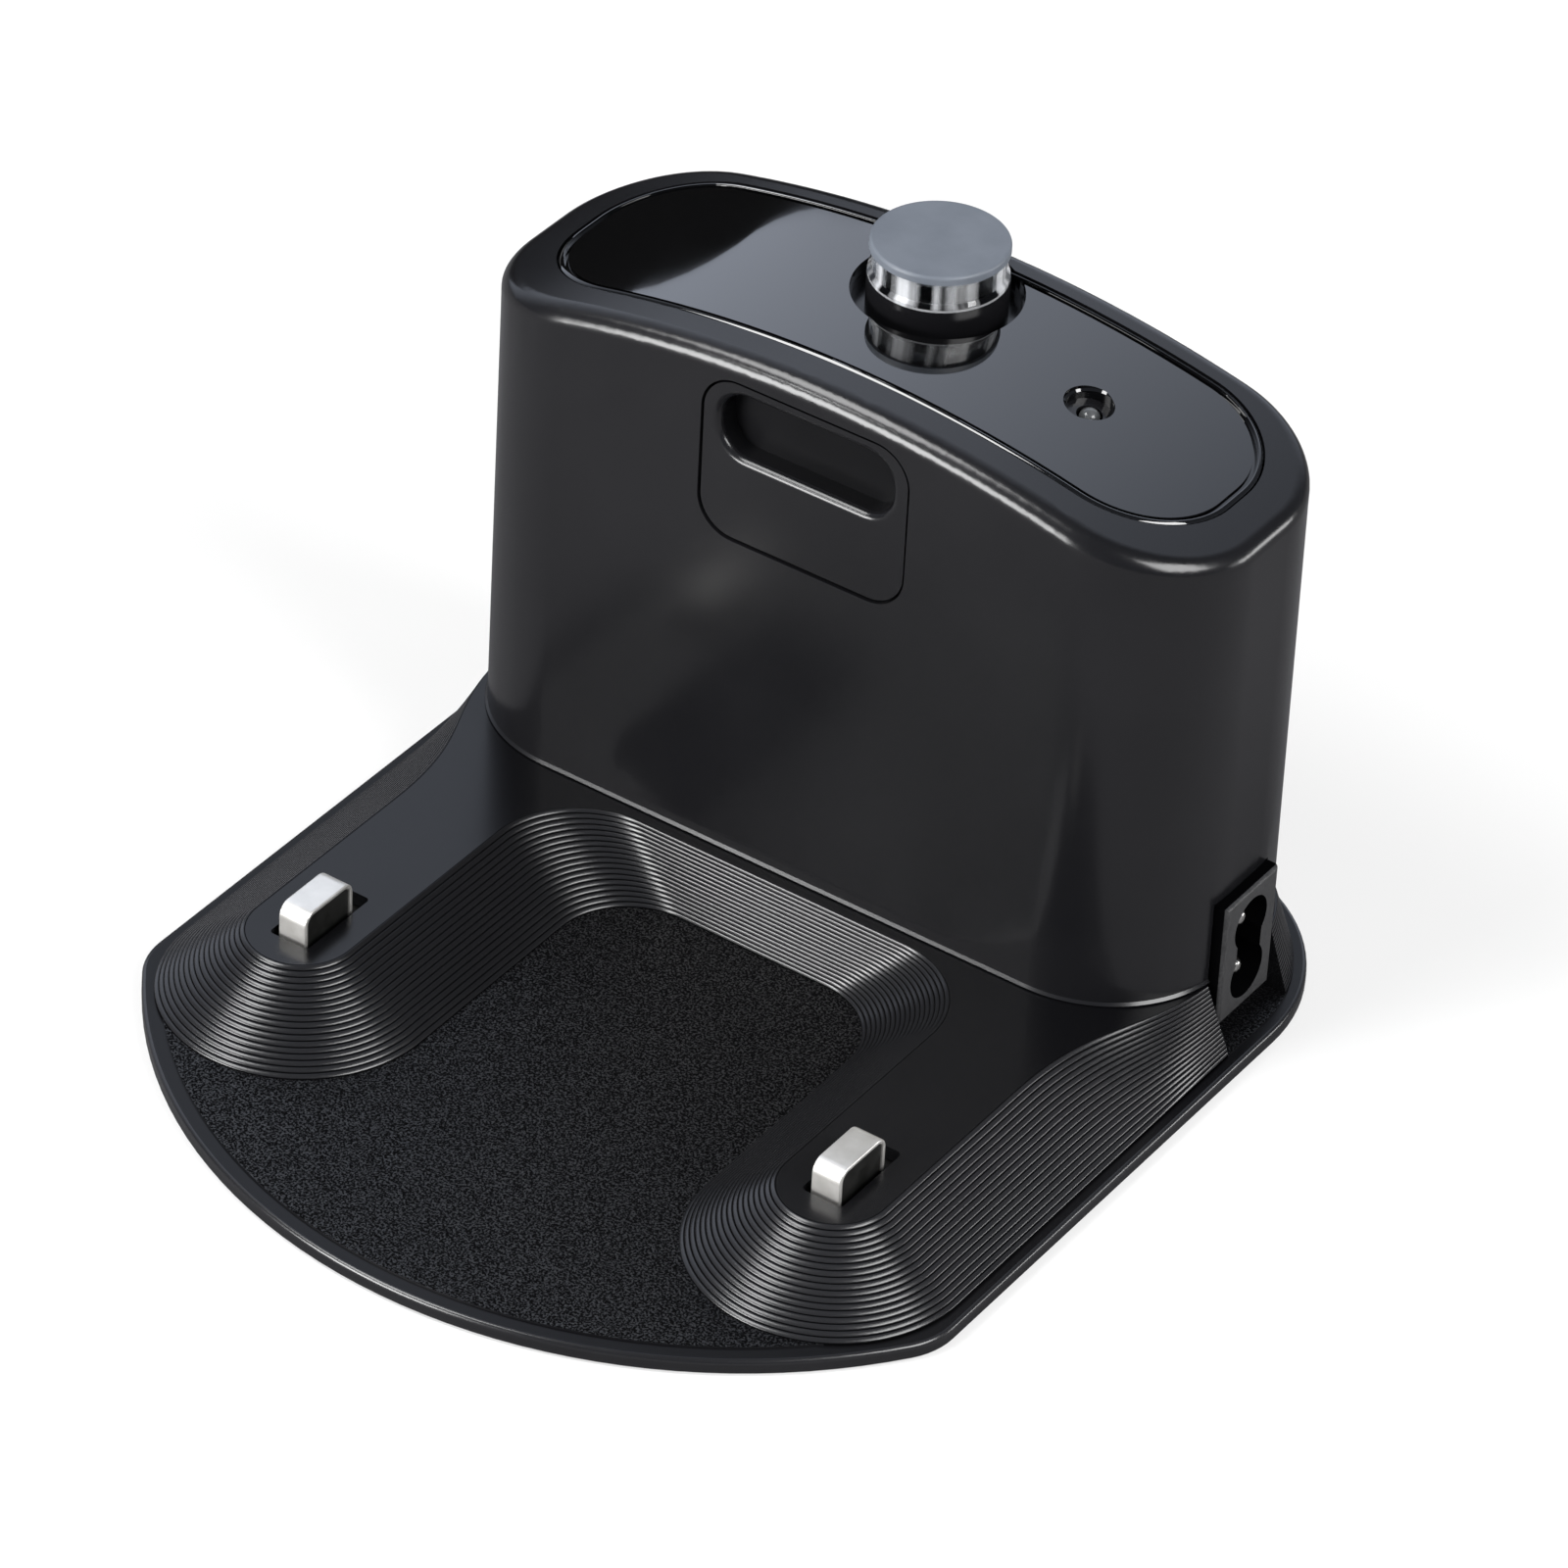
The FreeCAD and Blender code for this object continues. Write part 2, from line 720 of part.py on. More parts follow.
def pin_tail_rod(side):
    start = inlet_face - inlet_depth - pin_tail
    length = pin_tail + inlet_depth - socket_depth
    centre = V(start, inlet_y, inlet_z + side * pin_pitch / 2)
    return Part.makeCylinder(pin_tail_radius, length, centre, V(1, 0, 0))


def inlet_pin(side):
    start = inlet_face - socket_depth
    centre = V(start, inlet_y, inlet_z + side * pin_pitch / 2)
    rod = Part.makeCylinder(pin_radius, pin_length, centre, V(1, 0, 0))
    tip = [e for e in rod.Edges if e.BoundBox.XMin > start + pin_length - 0.01]
    return rod.makeFillet(pin_tip_round, tip).fuse(pin_tail_rod(side))


def inlet_pins():
    return Part.makeCompound([inlet_pin(side) for side in (-1, 1)])


def contact(side):
    half = tab_length / 2
    inside = half - strip_thickness
    front_toe = -slot_length / 2 - toe_lap - tab_offset
    rear_toe = slot_length / 2 + toe_lap - tab_offset
    low = core_bottom
    high = core_bottom + strip_thickness
    top = tab_top
    under = tab_top - strip_thickness
    profile = [(front_toe, low), (-inside, low), (-inside, under), (inside, under), (inside, low), (rear_toe, low)]
    profile = profile + [(rear_toe, high), (half, high), (half, top), (-half, top), (-half, high), (front_toe, high)]
    x0 = side * arm_x - strip_width / 2
    y0 = contact_y + tab_offset
    points = [V(x0, y0 + y, z) for y, z in profile]
    body = Part.Face(Part.makePolygon(points + [points[0]])).extrude(V(strip_width, 0, 0))
    across = [e for e in body.Edges if e.BoundBox.XLength > strip_width - 0.01]
    outer = [e for e in across if e.BoundBox.ZMin > top - 0.01]
    body = body.makeFillet(tab_bend, outer)
    across = [e for e in body.Edges if e.BoundBox.XLength > strip_width - 0.01]
    inner = [e for e in across if abs(e.BoundBox.ZMin - under) < 0.01 and e.BoundBox.ZLength < 0.01]
    inner = [e for e in inner if abs(abs(e.BoundBox.YMin - y0) - inside) < 0.01]
    return body.makeFillet(tab_bend - strip_thickness, inner)


def contact_core(side):
    # Block inside the bent strip, set back a little from its edges.
    width = strip_width - 2 * core_inset
    length = tab_length - 2 * strip_thickness
    top = tab_top - strip_thickness
    corner = V(side * arm_x - width / 2, contact_y + tab_offset - length / 2, core_bottom)
    body = Part.makeBox(width, length, top - core_bottom, corner)
    across = [e for e in body.Edges if e.BoundBox.XLength > width - 0.01 and e.BoundBox.ZMin > top - 0.01]
    return body.makeFillet(tab_bend - strip_thickness, across)


def contact_spring(side):
    low = spring_seat + spring_end_gap + spring_wire
    high = spring_top - spring_end_gap - spring_wire
    helix = Part.makeHelix((high - low) / spring_turns, high - low, spring_radius)
    section = Part.Wire(Part.makeCircle(spring_wire, V(spring_radius, 0, 0), V(0, 1, 0)))
    body = Part.Wire(helix).makePipeShell([section], True, True)
    body.translate(V(side * arm_x, contact_y + tab_offset, low))
    return body


def bottom_cover():
    body = prism(u_outline(1, base_wall - cover_lap + cover_gap), base_bottom, cover_top)
    posts = []
    for side in (-1, 1):
        x = side * arm_x
        y = contact_y + tab_offset
        posts.append(disc(x, y, spring_post_radius, cover_top, spring_seat))
        posts.append(disc(x, y, spring_pin_radius, spring_seat, spring_seat + spring_pin_height))
        guide_x = side * (main_board_width / 2 - guide_edge) - guide_width / 2
        for y0 in (tower_front + main_board_setback - guide_gap - guide_thickness,
                   tower_front + main_board_setback + board_thickness + guide_gap):
            posts.append(Part.makeBox(guide_width, guide_thickness, guide_height, V(guide_x, y0, cover_top)))
    body = body.multiFuse(posts)
    body = body.cut(pad_seats(rear_pad_points()))
    return body.cut(stations(bottom_screw_points(), lambda x, y: countersunk(x, y, screw_play)))


def countersunk(x, y, play):
    wide = screw_head_radius + play
    thin = screw_radius + play
    low = base_bottom
    shoulder = low + screw_head_height
    profile = [(0, low), (wide, low), (thin, shoulder), (thin, low + screw_length), (0, low + screw_length)]
    return revolved(profile, x, y)


def bottom_screws():
    return stations(bottom_screw_points(), lambda x, y: countersunk(x, y, 0))


def tower_screws():
    head = deck_under - screw_head_height

    def screw(x, y):
        shank = disc(x, y, screw_radius, deck_under, plateau + tower_screw_bite)
        return shank.fuse(disc(x, y, screw_head_radius, head, deck_under))

    return stations(tower_screw_points(), screw)


def rubber_feet():
    top = base_bottom + foot_pad_sink

    def pad(x, y):
        body = disc(x, y, foot_pad_radius, 0, top)
        low = [e for e in body.Edges if e.BoundBox.ZMax < 0.01]
        return body.makeFillet(foot_gap * 0.6, low)

    return stations(front_pad_points() + rear_pad_points(), pad)


def main_board():
    half = main_board_width / 2
    y = tower_front + main_board_setback
    wire = rounded_rectangle(-half, half, cover_top, main_board_top, board_corner)
    return upright_prism(wire, y, y + board_thickness)


def transformer():
    y = tower_front + main_board_setback
    low = V(transformer_x - bobbin_width / 2, y - bobbin_depth, transformer_z - bobbin_height / 2)
    bobbin = Part.makeBox(bobbin_width, bobbin_depth, bobbin_height, low)
    core_y = y - (bobbin_depth + core_depth) / 2
    low = V(transformer_x - core_width / 2, core_y, transformer_z - core_height / 2)
    core = Part.makeBox(core_width, core_depth, core_height, low)
    edges = [e for e in core.Edges if e.BoundBox.YLength > core_depth - 0.01]
    return core.makeFillet(core_round, edges).fuse(bobbin)


def capacitors():
    y = tower_front + main_board_setback
    cans = []
    for k in (0, 1):
        z = capacitor_low + k * capacitor_rise
        can = Part.makeCylinder(capacitor_radius, capacitor_length, V(capacitor_x, y, z), V(0, -1, 0))
        edges = [e for e in can.Edges if e.BoundBox.YMax < y - capacitor_length + 0.01]
        cans.append(can.makeFillet(capacitor_radius * 0.15, edges))
    return Part.makeCompound(cans)


def write(name, shape):
    shape.exportStep("parts/" + name + ".step")


os.makedirs("parts", exist_ok=True)
write("base_cover", base_cover())
write("tower_shell", tower_shell())
write("top_panel", top_panel())
write("dome_cap", dome_cap())
write("dome_collar", dome_collar())
write("dome_lens", dome_lens())
write("dome_reflector", dome_reflector())
write("dome_emitter", dome_emitter())
write("power_led", power_led())
write("top_board", top_board())
write("board_screws", board_screws())
write("window_panel", window_panel())
write("window_board", window_board())
write("window_emitter", window_emitter())
write("inlet_body", inlet_body())
write("inlet_pins", inlet_pins())
write("contact_left", contact(-1))
write("contact_right", contact(1))
write("contact_core_left", contact_core(-1))
write("contact_core_right", contact_core(1))
write("contact_spring_left", contact_spring(-1))
write("contact_spring_right", contact_spring(1))
write("bottom_cover", bottom_cover())
write("bottom_screws", bottom_screws())
write("tower_screws", tower_screws())
write("rubber_feet", rubber_feet())
write("main_board", main_board())
write("transformer", transformer())
write("capacitors", capacitors())
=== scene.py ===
import json
import math

import bmesh
import bpy
from mathutils import Matrix, Vector

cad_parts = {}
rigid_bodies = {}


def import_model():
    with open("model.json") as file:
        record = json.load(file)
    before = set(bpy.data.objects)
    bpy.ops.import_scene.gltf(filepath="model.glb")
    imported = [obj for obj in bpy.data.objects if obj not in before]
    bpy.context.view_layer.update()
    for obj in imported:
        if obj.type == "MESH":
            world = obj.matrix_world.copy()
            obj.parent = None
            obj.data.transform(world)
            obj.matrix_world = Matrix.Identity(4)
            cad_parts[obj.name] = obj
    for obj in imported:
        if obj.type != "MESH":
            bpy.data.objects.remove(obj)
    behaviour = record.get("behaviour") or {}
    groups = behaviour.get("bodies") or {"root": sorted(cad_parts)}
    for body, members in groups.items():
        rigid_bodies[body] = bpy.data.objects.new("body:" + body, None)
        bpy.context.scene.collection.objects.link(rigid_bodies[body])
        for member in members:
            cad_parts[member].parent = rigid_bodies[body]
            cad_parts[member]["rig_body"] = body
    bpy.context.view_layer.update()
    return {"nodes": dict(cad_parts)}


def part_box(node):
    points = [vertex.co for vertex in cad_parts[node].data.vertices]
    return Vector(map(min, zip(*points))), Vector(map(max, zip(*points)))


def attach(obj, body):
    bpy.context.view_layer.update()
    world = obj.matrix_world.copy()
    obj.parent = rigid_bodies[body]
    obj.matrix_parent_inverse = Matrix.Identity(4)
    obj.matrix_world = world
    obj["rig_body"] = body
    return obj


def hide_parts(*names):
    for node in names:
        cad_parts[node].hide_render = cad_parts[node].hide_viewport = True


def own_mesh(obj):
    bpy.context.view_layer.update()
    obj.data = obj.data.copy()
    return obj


# Charging dock of a robot vacuum cleaner: finishes, fine shapes, light and camera.
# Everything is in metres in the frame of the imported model; sizes are written in millimetres.

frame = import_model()
nodes = frame["nodes"]
scene = bpy.context.scene
MM = 0.001
WELD = 1e-7  # corners closer than this, in metres, are one
NEAR = 0.01  # levels closer than this, in millimetres, are the same

# Levels of the base.
RIM_LOW, RIM_HIGH = 2.0, 2.7
FLOOR_TOP = 3.0
PLATEAU = 13.2

# Rounded edge of the plate: its rows, and how far the last row tucks in and down under the flat rim.
RIM_ROWS = 8
RIM_TUCK = (0.2, 0.05)

# Outline of the raised U. Pairs are at the foot and at the crest of its slopes.
ARM_X = 45.0
NOSE_Y = -31.6
ARM_HALF = (20.5, 7.9)
END_X = (65.5, 61.6)
BACK_Y = (73.1, 67.3)
BACK_CORNER = (28.6, 20.1)
CROSS_Y = (13.6, 17.3)
CROSS_CORNER = (12.0, 14.0)
FLARE_LOW, FLARE_HIGH = 0.4, 42.4
PAST_CREST = 1.03  # share of the slopes that is just inside the deck

# Ribs on the slopes.
RIBS = 18
RIB_ROWS = 9
RIB_SKIRT = 0.35
RIB_SWELL = 0.21
RIB_FLATNESS = 4.0

# Notch in the ribs for the inlet, and the inlet's socket: its middle, its mouth, half its width and height.
NOTCH_SIDE = 55
NOTCH_X = 60.6
NOTCH_Y = (35.6, 52.3)
INLET_Y, INLET_Z = 43.2, 16.3
SOCKET_X = 62.7
SOCKET_HALF = (5.2, 9.5)

# Tower: axis of its crowned top, the panel in it, the beacon and the pocket of the window.
CROWN_AXIS = -88.4
CROWN_INNER = 180.0
PANEL = (53.85, 27.35, 61.15, 14.75)  # half width, front, rear and corner radius
PANEL_ROUND = 183.8
DOME_Y = 51.3
LENS_FOOT = 98.2
POCKET_Y = 21.45

# Contact strips: toes, upright legs, heights of the middle line and bends. Half the section and its rolled
# edge. The height below which the strip gets painted shade, the dark finish of the core.
STRIP_TOES = (-35.7, -19.5)
STRIP_LEGS = (-33.55, -23.45)
STRIP_HEIGHTS = (10.35, 17.45)
STRIP_BEND = 1.65
TOE_BEND = 0.6
STRIP_HALF = (2.1, 0.1)
STRIP_EDGE = 0.25
STRIP_SHADE_TOP = 12


class Wire:
    """A socket of a tree. Sums on it add Math nodes."""

    def __init__(self, tree, socket):
        self.tree = tree
        self.socket = socket

    def out(self, name):
        return Wire(self.tree, self.socket.node.outputs[name])

    def sum(self, operation, first, second=0.0):
        return self.tree.node("ShaderNodeMath", {"operation": operation}, {0: first, 1: second})

    def __add__(self, other):
        return self.sum("ADD", self, other)

    def __radd__(self, other):
        return self.sum("ADD", other, self)

    def __sub__(self, other):
        return self.sum("SUBTRACT", self, other)

    def __rsub__(self, other):
        return self.sum("SUBTRACT", other, self)

    def __mul__(self, other):
        return self.sum("MULTIPLY", self, other)

    def __rmul__(self, other):
        return self.sum("MULTIPLY", other, self)

    def __truediv__(self, other):
        return self.sum("DIVIDE", self, other)

    def __rtruediv__(self, other):
        return self.sum("DIVIDE", other, self)

    def __pow__(self, other):
        return self.sum("POWER", self, other)

    def __mod__(self, other):
        return self.sum("FLOORED_MODULO", self, other)

    def __gt__(self, other):
        return self.sum("GREATER_THAN", self, other)

    def __lt__(self, other):
        return self.sum("LESS_THAN", self, other)

    def floor(self):
        return self.sum("FLOOR", self)

    def least(self, other):
        return self.sum("MINIMUM", self, other)

    def most(self, other):
        return self.sum("MAXIMUM", self, other)

    def size(self):
        return self.sum("ABSOLUTE", self)


class Tree:
    """A node tree and the one way in which its nodes are made."""

    def __init__(self, tree):
        self.tree = tree
        self.tree.nodes.clear()

    def node(self, kind, settings=None, sockets=None, out=0):
        made = self.tree.nodes.new(kind)
        for key, value in (settings or {}).items():
            setattr(made, key, value)
        for key, value in (sockets or {}).items():
            if isinstance(value, Wire):
                self.tree.links.new(value.socket, made.inputs[key])
            else:
                made.inputs[key].default_value = value
        return Wire(self, made.outputs[out]) if len(made.outputs) else made

    def vector(self, operation, first, second):
        return self.node("ShaderNodeVectorMath", {"operation": operation}, {0: first, 1: second})

    def span(self, value, low, high, to_low, to_high):
        return self.node("ShaderNodeMapRange", sockets={0: value, 1: low, 2: high, 3: to_low, 4: to_high})

    def diffuse(self, colour):
        return self.node("ShaderNodeBsdfDiffuse", sockets={"Color": colour})

    def mixed(self, mask, first, second):
        return self.node("ShaderNodeMixShader", sockets={0: mask, 1: first, 2: second})


class Finish(Tree):
    """A material and the few recipes that the finishes share."""

    def __init__(self, name):
        self.material = bpy.data.materials.new(name)
        self.material.use_nodes = True
        super().__init__(self.material.node_tree)

    def place(self):
        return self.node("ShaderNodeTexCoord", out="Object")

    def axes(self, place):
        parts = self.node("ShaderNodeSeparateXYZ", sockets={0: place})
        return parts.out("X"), parts.out("Y"), parts.out("Z")

    def speckle(self, place, size, detail=2.0, rough=0.5):
        return self.node("ShaderNodeTexNoise", sockets={
            "Vector": place, "Scale": 1 / (size * MM), "Detail": detail, "Roughness": rough})

    def blend(self, mask, first, second):
        return self.node("ShaderNodeMix", {"data_type": "RGBA"}, {0: mask, 6: first, 7: second}, out=2)

    def two_tone(self, cloud, first, second):
        # Two close colours that drift into each other with the clouds.
        return self.blend(self.span(cloud, 0.35, 0.65, 0, 1), first, second)

    def satin(self, cloud, rough):
        # Roughness that drifts between two values with the clouds.
        return self.span(cloud, 0.3, 0.7, *rough)

    def bump(self, height, strength, depth):
        return self.node("ShaderNodeBump", sockets={
            "Height": height, "Strength": strength, "Distance": depth * MM})

    def plastic(self, sockets):
        return self.node("ShaderNodeBsdfPrincipled", sockets=sockets)

    def painted_shade(self, mask, surface):
        # The surface where the mask is one, and painted shade, a dull black, where it is nought.
        return self.mixed(mask, self.diffuse(tone(9, 9, 10)), surface)

    def close(self, surface):
        self.node("ShaderNodeOutputMaterial", sockets={"Surface": surface})
        return self.material


def tone(red, green, blue):
    # Screen values from 0 to 255 as the linear colour that a shader takes.
    parts = [c / 255 for c in (red, green, blue)]
    parts = [c / 12.92 if c <= 0.04045 else ((c + 0.055) / 1.055) ** 2.4 for c in parts]
    return (*parts, 1.0)


def grey(level):
    return (level, level, level, 1)


def satin_black(name, rough, peel, shine, lift=0, groove_shade=False):
    # Moulded black: faint clouds, an even satin and a very fine orange peel. With groove_shade, the grooves
    # between ribs get painted shade, a dull black.
    f = Finish(name)
    place = f.place()
    cloud = f.speckle(place, 38, 3)
    grain = f.speckle(place, 0.16, 2)
    dark, light = (tone(v + lift, v + lift, v + 2 + lift) for v in (17, 22))
    surface = f.plastic({
        "Base Color": f.two_tone(cloud, dark, light),
        "Roughness": f.satin(cloud, rough) + (grain - 0.5) * 0.06,
        "Normal": f.bump(grain, peel, 0.02), "Specular IOR Level": shine})
    if groove_shade:
        # Painted shade: the groove measure of the ribs turns the surface to dull black in the grooves.
        depth = f.node("ShaderNodeAttribute", {"attribute_name": "groove"}, out="Fac")
        surface = f.painted_shade(f.span(depth, 0.58, 0.92, 1, 0), surface)
    return f.close(surface)


def floor_grain_and_pit_shade():
    # Spark-eroded floor of the base: small glinting peaks between pits in painted shade, a dull black.
    f = Finish("floor_grain_and_pit_shade")
    place = f.place()
    bumps = f.speckle(place, 0.34, 3, 0.65)
    cloud = f.speckle(place, 24, 3)
    peak = f.plastic({
        "Base Color": f.two_tone(cloud, tone(10, 10, 12), tone(14, 14, 16)),
        "Roughness": f.satin(cloud, (0.27, 0.33)),
        "Normal": f.bump(bumps, 1.0, 0.14), "Specular IOR Level": 1.0})
    # The pits between the bumps get painted shade; only the peaks keep the glossy surface.
    return f.close(f.painted_shade(f.span(bumps, 0.47, 0.6, 0, 1), peak))


def gloss_black():
    # Lacquered panel with a faint haze.
    f = Finish("gloss_black")
    haze = f.speckle(f.place(), 14, 2)
    return f.close(f.plastic({
        "Base Color": f.blend(haze, tone(6, 6, 7), tone(9, 9, 10)), "Roughness": f.satin(haze, (0.03, 0.06)),
        "Coat Weight": 1.0, "Coat Roughness": 0.02}))


def plain(name, first, second, size, rough, metal=0.0, grain=0.0):
    # A finish with soft clouds of two close tones and an optional fine grain.
    f = Finish(name)
    place = f.place()
    cloud = f.speckle(place, size, 3)
    sockets = {"Base Color": f.two_tone(cloud, tone(*first), tone(*second)),
               "Roughness": f.satin(cloud, rough), "Metallic": metal}
    if grain:
        sockets["Normal"] = f.bump(f.speckle(place, grain, 2), 0.25, grain * 0.2)
    return f.close(f.plastic(sockets))


def clear_ring():
    # Clear plastic with upright light frosted bars of uneven width round the ring, painted highlights that
    # stand in for the glints of a fluted ring, and a frosted line at its foot.
    f = Finish("clear_ring")
    place = f.place()
    haze = f.speckle(place, 3, 2)
    clear = f.plastic({"Base Color": tone(245, 248, 250), "Roughness": f.satin(haze, (0.01, 0.04)),
                       "Transmission Weight": 1.0, "IOR": 1.5})
    frost_and_glint = f.plastic({"Base Color": tone(215, 217, 221), "Roughness": f.satin(haze, (0.2, 0.3))})
    x, y, z = f.axes(place)
    turn = f.node("ShaderNodeMath", {"operation": "ARCTAN2"}, {0: y - DOME_Y * MM, 1: x})
    # Painted highlights: light bars round the ring, set by angle.
    painted_glint_bars = f.node("ShaderNodeTexNoise", {"noise_dimensions": "1D"}, {"W": turn, "Scale": 2.3, "Detail": 2.0})
    foot_line = f.span(z, LENS_FOOT * MM, (LENS_FOOT + 0.1) * MM, 0.4, 0)
    return f.close(f.mixed(f.span(painted_glint_bars, 0.46, 0.66, 0, 0.8).most(foot_line), clear, frost_and_glint))


def painted_socket_shade():
    # Painted shade: a very dark matte finish for the inlet's socket and sides.
    f = Finish("painted_socket_shade")
    return f.close(f.diffuse(f.blend(f.speckle(f.place(), 3, 2), tone(4, 4, 5), tone(8, 8, 9))))


shell = satin_black("satin_black", (0.2, 0.24), peel=0.05, shine=0.5, lift=1)
# The rib finish carries painted shade in the grooves between ribs.
ribbed = satin_black("rib_black", (0.22, 0.26), peel=0.04, shine=0.65, lift=5, groove_shade=True)
deck = satin_black("deck_black", (0.2, 0.24), peel=0.02, shine=0.34, lift=-8)
# Darker finish of the plate's flat rim, also used as painted shade in the window's pocket and gap.
rim_and_pocket_shade = satin_black("rim_black_and_pocket_shade", (0.3, 0.36), peel=0.05, shine=0.22, lift=-6)
grain_and_pit_shade = floor_grain_and_pit_shade()
finishes = {
    "base_cover": ribbed,
    "tower_shell": shell,
    "top_panel": gloss_black(),
    "dome_cap": plain("cap_grey", (96, 102, 111), (105, 111, 120), size=6, rough=(0.38, 0.46), grain=0.2),
    "dome_collar": satin_black("collar_black", (0.2, 0.26), peel=0.04, shine=0.4),
    "dome_lens": clear_ring(),
    "dome_reflector": plain("reflector_grey", (70, 72, 76), (84, 86, 90), size=3, rough=(0.2, 0.3)),
    "dome_emitter": plain("emitter_dark", (20, 20, 34), (26, 26, 44), size=2, rough=(0.05, 0.1)),
    "power_led": plain("led_clear", (74, 76, 78), (90, 92, 94), size=1, rough=(0.08, 0.14)),
    "top_board": plain("board_green", (20, 70, 40), (26, 84, 48), size=2, rough=(0.3, 0.4)),
    "window_panel": shell,
    "inlet_body": plain("inlet_black", (38, 38, 39), (58, 58, 59), size=0.4, rough=(0.4, 0.5), grain=0.35),
    "inlet_pins": plain(
        "pin_nickel", (205, 203, 198), (218, 216, 212), size=2, rough=(0.18, 0.26), metal=1.0),
    "contact_left": plain(
        "contact_nickel", (226, 224, 219), (238, 236, 232), size=3, rough=(0.34, 0.42), metal=0.75),
    "contact_core_left": plain(
        "core_grey", (24, 24, 23), (32, 32, 31), size=2, rough=(0.32, 0.42), grain=0.3),
    "rubber_feet": plain("pad_rubber", (30, 30, 30), (38, 38, 38), size=2, rough=(0.75, 0.85), grain=0.3),
    "bottom_screws": plain(
        "screw_steel", (150, 150, 150), (165, 165, 165), size=2, rough=(0.25, 0.35), metal=1.0),
    "transformer": plain("core_dark", (46, 42, 38), (56, 52, 48), size=3, rough=(0.5, 0.6)),
    "capacitors": plain(
        "can_aluminium", (170, 172, 174), (184, 186, 188), size=3, rough=(0.25, 0.35), metal=1.0),
}
same_finish = {
    "contact_right": "contact_left", "contact_core_right": "contact_core_left",
    "contact_spring_left": "bottom_screws", "contact_spring_right": "bottom_screws",
    "bottom_cover": "inlet_body", "tower_screws": "bottom_screws", "board_screws": "bottom_screws",
    "window_board": "top_board", "main_board": "top_board", "window_emitter": "dome_emitter",
}
for name, source in same_finish.items():
    finishes[name] = finishes[source]
for name, obj in nodes.items():
    obj.data.materials.clear()
    obj.data.materials.append(finishes[name])


def between(a, b, t):
    return a + (b - a) * t


def arc(x, y, radius, start, end, count):
    angles = [math.radians(between(start, end, k / count)) for k in range(count)]
    return [(x + radius * math.cos(a), y + radius * math.sin(a)) for a in angles]


def straight(a, b, count):
    return [(between(a[0], b[0], k / count), between(a[1], b[1], k / count)) for k in range(count)]


def flare(a, b, count):
    # Curve that leaves and arrives along Y.
    points = []
    for k in range(count):
        u = k / count
        share = u * u * (3 - 2 * u)
        y = between(a[1], b[1], 1.5 * u * (1 - u) + u ** 3)
        points.append((between(a[0], b[0], share), y))
    return points


def u_ring(t):
    # Outline of the raised U at a share t of the way up its slopes, in millimetres.
    half = between(*ARM_HALF, t)
    x_out, x_in = ARM_X + half, ARM_X - half
    x_end = between(*END_X, t)
    y_back = between(*BACK_Y, t)
    back = between(*BACK_CORNER, t)
    y_cross = between(*CROSS_Y, t)
    inner = between(*CROSS_CORNER, t)
    ring = arc(ARM_X, NOSE_Y, half, 180, 360, 48)
    ring += straight((x_out, NOSE_Y), (x_out, FLARE_LOW), 6)
    ring += flare((x_out, FLARE_LOW), (x_end, FLARE_HIGH), 28)
    ring += straight((x_end, FLARE_HIGH), (x_end, y_back - back), 4)
    ring += arc(x_end - back, y_back - back, back, 0, 90, 28)
    ring += straight((x_end - back, y_back), (back - x_end, y_back), 10)
    ring += arc(back - x_end, y_back - back, back, 90, 180, 28)
    ring += straight((-x_end, y_back - back), (-x_end, FLARE_HIGH), 4)
    ring += flare((-x_end, FLARE_HIGH), (-x_out, FLARE_LOW), 28)
    ring += straight((-x_out, FLARE_LOW), (-x_out, NOSE_Y), 6)
    ring += arc(-ARM_X, NOSE_Y, half, 180, 360, 48)
    ring += straight((-x_in, NOSE_Y), (-x_in, y_cross - inner), 8)
    ring += arc(inner - x_in, y_cross - inner, inner, 180, 90, 24)
    ring += straight((inner - x_in, y_cross), (x_in - inner, y_cross), 16)
    ring += arc(x_in - inner, y_cross - inner, inner, 90, 0, 24)
    ring += straight((x_in, y_cross - inner), (x_in, NOSE_Y), 8)
    return ring


def inside(point, ring):
    hit = False
    x, y = point
    for (x0, y0), (x1, y1) in zip(ring, ring[1:] + ring[:1]):
        if (y0 > y) != (y1 > y) and x < x0 + (y - y0) * (x1 - x0) / (y1 - y0):
            hit = not hit
    return hit


